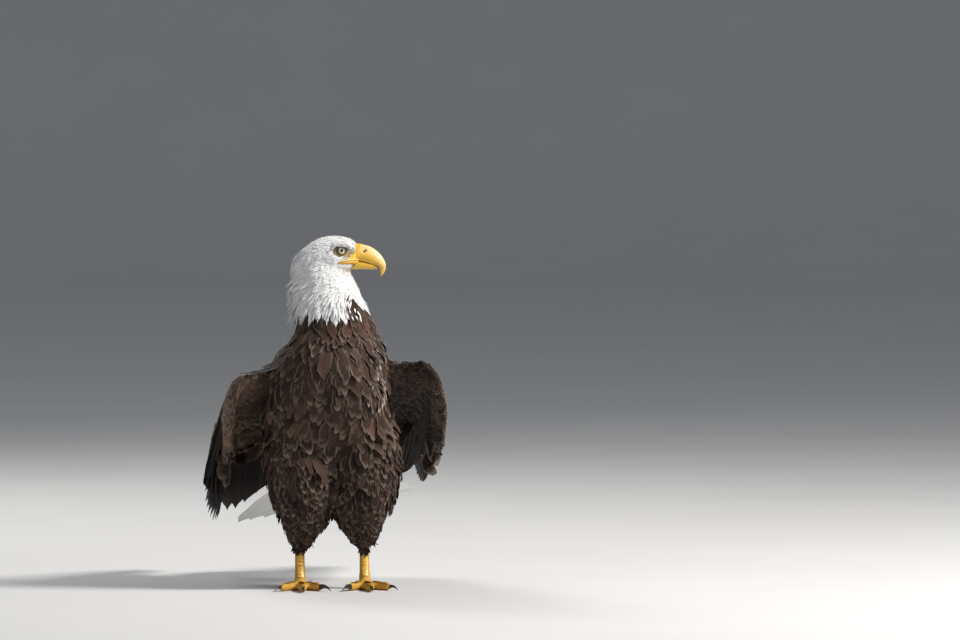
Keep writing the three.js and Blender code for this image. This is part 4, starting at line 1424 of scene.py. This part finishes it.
def claw(side, toe, swing, reach, bend):
    """A curved talon that rises out of its toe and comes down to the floor."""
    along, across = toe_way(side, swing)
    start = TOE_RADIUS * SOLE_DEPTH * 0.9
    fall = math.acos(1 - (start + bend * (1 - math.cos(CLAW_RISE)) - CLAW_TIP_HEIGHT) / bend)
    foot = np.array([*FEET[side], 0.0])

    def shape(angle, t):
        heading = blend(CLAW_RISE, -fall, t)
        ahead = reach - 3 + bend * (math.sin(CLAW_RISE) - np.sin(heading))
        height = start + bend * (np.cos(heading) - math.cos(CLAW_RISE))
        normal = -np.sin(heading)[:, None] * along + np.cos(heading)[:, None] * UP
        radius = blend(bend * 0.2, 0.35, t**1.15)
        keel = radius * np.where(np.sin(angle) < 0, 0.86, 1.0)
        ring = foot + along * ahead[:, None] + height[:, None] * UP
        ring = ring + across * (0.78 * radius * np.cos(angle))[:, None] + normal * (keel * np.sin(angle))[:, None]
        ring[:, 2] = np.maximum(ring[:, 2], 0.05)
        return placed(ring)

    return finished(tube(f"{side}_{toe}_talon", 18, 22, shape), "claws", f"{side}_{toe}_claw", material="claw")


def scales(side):
    """Overlapping plates down the front of the shank and along the top of each toe."""
    part = body["part"]
    bare = np.flatnonzero(np.isin(part, (SHANK, TOE)))
    near = nearby(body["points"][bare], bare)
    foot = np.array([*FEET[side], 0.0])
    plates = []
    for _, swing, reach, _ in TOES:
        along, _ = toe_way(side, swing)
        for k in np.arange(9, reach - 3, 3.6):
            root = near.find(Vector(placed(foot + along * k + UP * 17)))[1]
            if part[root] == TOE:
                plates.append((root, along, 5.4, 9.5 * (1 - 0.25 * k / reach)))
    for z in np.arange(70, 14, -4.2):
        root = near.find(Vector(placed(foot + [0, -22, z])))[1]
        plates.append((root, [0, -0.1, -1.0], 6.2, 10.0))
    roots, ways, lengths, widths = (np.array(column) for column in zip(*plates))
    count = len(roots)
    ways = unit(without(unit(ways), body["normals"][roots]))
    shades = SCALE_YELLOW * np.exp(np.random.default_rng(400).normal(0, 0.08, (count, 1)))
    pattern = vane_pattern(6, 3, SCALE_OUTLINE, 0.12)
    return lay(f"{side}_foot_scales", "foot_skin", "scute", pattern, roots, ways, lengths * MM, widths * MM,
               np.full(count, 0.7) * MM, shades, np.zeros(count), 401, arch=0.30)


# ---- Stage --------------------------------------------------------------------------------------
# The floor runs flat out from the middle, bends up and goes on as a wall, in metres.
FLOOR_FLAT = 16
FLOOR_BEND = 4
WALL_START = 22
FLOOR_RUN = 26
AIM_HEIGHT = 0.32
# Each light: where it is, its size and its colour.
LIGHTS = {
    "key": ((2.85, -1.55, 2.9), 1.0, (1.0, 0.965, 0.92)),
    "fill": ((-3.0, -2.2, 1.4), 2.6, (0.88, 0.94, 1.0)),
    "rim": ((-1.2, 2.4, 2.6), 1.4, (1.0, 0.98, 0.95)),
}
AIR_COLOUR = 0.86, 0.9, 0.96, 1
# The camera's angles, and the point it looks at: so far across and up its own view from the bird's origin, in mm.
CAMERA_TURN = math.radians(7)
CAMERA_LIFT = math.radians(2)
AIM = 240, 432
CAMERA_DISTANCE = 12
LENS, SENSOR = 281.25, 36
CLIP = 0.1, 60


def studio_floor(shade):
    """A round floor that bends up into a wall all round."""
    floor, turn, out = grid("studio_floor", 96, 40)
    run = out**1.5 * FLOOR_RUN
    bend = np.clip((run - FLOOR_FLAT) / (WALL_START - FLOOR_FLAT), 0, 1) * math.pi / 2
    reach = np.minimum(run, FLOOR_FLAT) + FLOOR_BEND * np.sin(bend)
    rise = FLOOR_BEND * (1 - np.cos(bend)) + np.maximum(run - WALL_START, 0)
    turn = turn * 2 * math.pi
    move_corners(floor.data, np.stack([reach * np.cos(turn), reach * np.sin(turn), rise], axis=1))
    choose(close_seams(floor))
    bpy.ops.object.shade_smooth()
    made, tree, shader = new_material("Studio floor", Roughness=0.9)
    cloud = noise(tree, node(tree, "TexCoord").outputs["Object"], 2.5, 3.0)
    shade = spanned(tree, cloud, shade * 0.96, shade * 1.04)
    tint = node(tree, "CombineColor", {0: shade, 1: shade, 2: shade}).outputs[0]
    tree.links.new(tint, shader.inputs["Base Color"])
    floor.data.materials.append(made)
    return floor


def soft_light(name, power):
    """A square area light turned to the middle of the bird."""
    where, size, colour = LIGHTS[name]
    deselect()
    bpy.ops.object.light_add(type="AREA", location=where)
    light = bpy.context.object
    light.name = light.data.name = f"{name}_light"
    light.data.size, light.data.energy, light.data.color = size, power, colour
    light.rotation_euler = (Vector((0, 0, AIM_HEIGHT)) - Vector(where)).to_track_quat("-Z", "Y").to_euler()
    return light


def studio_camera():
    """The camera, far off with a long lens."""
    deselect()
    bpy.ops.object.camera_add()
    camera = bpy.context.object
    camera.name = camera.data.name = "camera"
    (sin, cos), (sink, level) = ((math.sin(a), math.cos(a)) for a in (CAMERA_TURN, CAMERA_LIFT))
    right = np.array([cos, -sin, 0])
    ahead = np.array([sin * level, cos * level, -sink])
    aside, over = AIM
    target = placed(right * aside + np.cross(right, ahead) * over)
    camera.location = target - ahead * CAMERA_DISTANCE
    camera.rotation_euler = Vector(ahead).to_track_quat("-Z", "Y").to_euler()
    camera.data.lens, camera.data.sensor_width = LENS, SENSOR
    camera.data.clip_start, camera.data.clip_end = CLIP
    return camera


def build_stage(stage):
    """Floor, lights, air and camera."""
    powers = {"key": stage.key_power, "fill": stage.fill_power, "rim": stage.rim_power}
    pieces = [studio_floor(stage.floor_shade), *(soft_light(name, power) for name, power in powers.items())]
    world = bpy.data.worlds.new("studio_air")
    world.use_nodes = True
    air = world.node_tree.nodes["Background"]
    air.inputs[0].default_value = AIR_COLOUR
    air.inputs[1].default_value = stage.world_strength
    scene = bpy.context.scene
    scene.world = world
    scene.camera = studio_camera()
    scene.view_settings.view_transform = "Standard"
    scene.view_settings.look = "None"


# ---- Panel, properties and operators ------------------------------------------------------------
class EagleStage(bpy.types.PropertyGroup):
    """The light and the floor the eagle stands in."""

    key_power: bpy.props.FloatProperty(
        name="Key power", description="Strength of the main soft light", default=235, min=0, unit="POWER"
    )
    fill_power: bpy.props.FloatProperty(
        name="Fill power", description="Strength of the broad light from the left", default=12, min=0, unit="POWER"
    )
    rim_power: bpy.props.FloatProperty(
        name="Rim power", description="Strength of the light from behind", default=55, min=0, unit="POWER"
    )
    floor_shade: bpy.props.FloatProperty(
        name="Floor shade", description="How pale the floor is", default=0.62, min=0, max=1, subtype="FACTOR"
    )
    world_strength: bpy.props.FloatProperty(
        name="Air light", description="Strength of the light from all round", default=0.27, min=0, max=2
    )


class EaglePlumage(bpy.types.PropertyGroup):
    """How full the coat is."""

    lift: bpy.props.FloatProperty(
        name="Feather lift", description="How far the tips stand out, as a share of the plain coat",
        default=1, min=0, max=3, subtype="FACTOR",
    )
    spacing: bpy.props.FloatProperty(
        name="Feather spacing", description="Distance between feathers, as a share of the plain coat",
        default=1, min=0.7, max=3, subtype="FACTOR",
    )


class Piece:
    """What every operator of the eagle shares."""

    bl_options = {"REGISTER", "UNDO"}

    def execute(self, context):
        self.make(context)
        return {"FINISHED"}


class EAGLE_OT_skin(Piece, bpy.types.Operator):
    """Makes the materials and the one skin that lies under the plumage"""

    bl_idname, bl_label = "eagle.skin", "Skin"

    def make(self, context):
        body["materials"] = make_materials()
        finished(build_skin(), "brown_plumage", *PARTS, material="skin")


class EAGLE_OT_coats(Piece, bpy.types.Operator):
    """Lays the small feathers of head, neck, body, thighs and wing coverts"""

    bl_idname, bl_label = "eagle.coats", "Small feathers"

    def make(self, context):
        build_coats()


class EAGLE_OT_quills(Piece, bpy.types.Operator):
    """Makes the flight feathers of both wings and the tail"""

    bl_idname, bl_label = "eagle.quills", "Flight and tail feathers"

    def make(self, context):
        for side in WINGS:
            for kind in ("secondaries", "primaries"):
                wing_quills(side, kind)
        tail_quills()


class EAGLE_OT_bill(Piece, bpy.types.Operator):
    """Makes the two halves of the bill and the corners of the mouth"""

    bl_idname, bl_label = "eagle.bill", "Bill"

    def make(self, context):
        upper_bill()
        lower_bill()
        gape(1, "left_mouth_corner")
        gape(-1, "right_mouth_corner")


class EAGLE_OT_eyes(Piece, bpy.types.Operator):
    """Makes the eyeballs and their lids"""

    bl_idname, bl_label = "eagle.eyes", "Eyes"

    def make(self, context):
        for side, name in ((1, "left"), (-1, "right")):
            eyeball(side, name)
            lids(side, name)


class EAGLE_OT_feet(Piece, bpy.types.Operator):
    """Makes the talons and the plates on the toes and shanks"""

    bl_idname, bl_label = "eagle.feet", "Feet"

    def make(self, context):
        for side in FEET:
            for toe, swing, reach, bend in TOES:
                claw(side, toe, swing, reach, bend)
            scales(side)


class EAGLE_OT_stage(Piece, bpy.types.Operator):
    """Makes the floor, lights and camera"""

    bl_idname, bl_label = "eagle.stage", "Stage"

    def make(self, context):
        build_stage(context.scene.eagle_stage)


OPERATORS = (
    EAGLE_OT_skin, EAGLE_OT_coats, EAGLE_OT_quills, EAGLE_OT_bill, EAGLE_OT_eyes, EAGLE_OT_feet, EAGLE_OT_stage,
)


class EAGLE_PT_panel(bpy.types.Panel):
    """The eagle's pieces, in the order they are made."""

    bl_label, bl_category = "Standing Bald Eagle", "Eagle"
    bl_space_type, bl_region_type = "VIEW_3D", "UI"

    def draw(self, context):
        for operator in OPERATORS:
            self.layout.operator(operator.bl_idname)
        for settings in (context.scene.eagle_plumage, context.scene.eagle_stage):
            for name in settings.__annotations__:
                self.layout.prop(settings, name)


def register():
    for one in (EaglePlumage, EagleStage, *OPERATORS, EAGLE_PT_panel):
        bpy.utils.register_class(one)
    bpy.types.Scene.eagle_plumage = bpy.props.PointerProperty(type=EaglePlumage)
    bpy.types.Scene.eagle_stage = bpy.props.PointerProperty(type=EagleStage)


def unregister():
    del bpy.types.Scene.eagle_stage, bpy.types.Scene.eagle_plumage
    for one in (EAGLE_PT_panel, *reversed(OPERATORS), EagleStage, EaglePlumage):
        bpy.utils.unregister_class(one)


def main():
    """Makes everything."""
    register()
    for piece in ("skin", "coats", "quills", "bill", "eyes", "feet", "stage"):
        getattr(bpy.ops.eagle, piece)()
    bpy.context.view_layer.update()


if __name__ == "__main__":
    main()
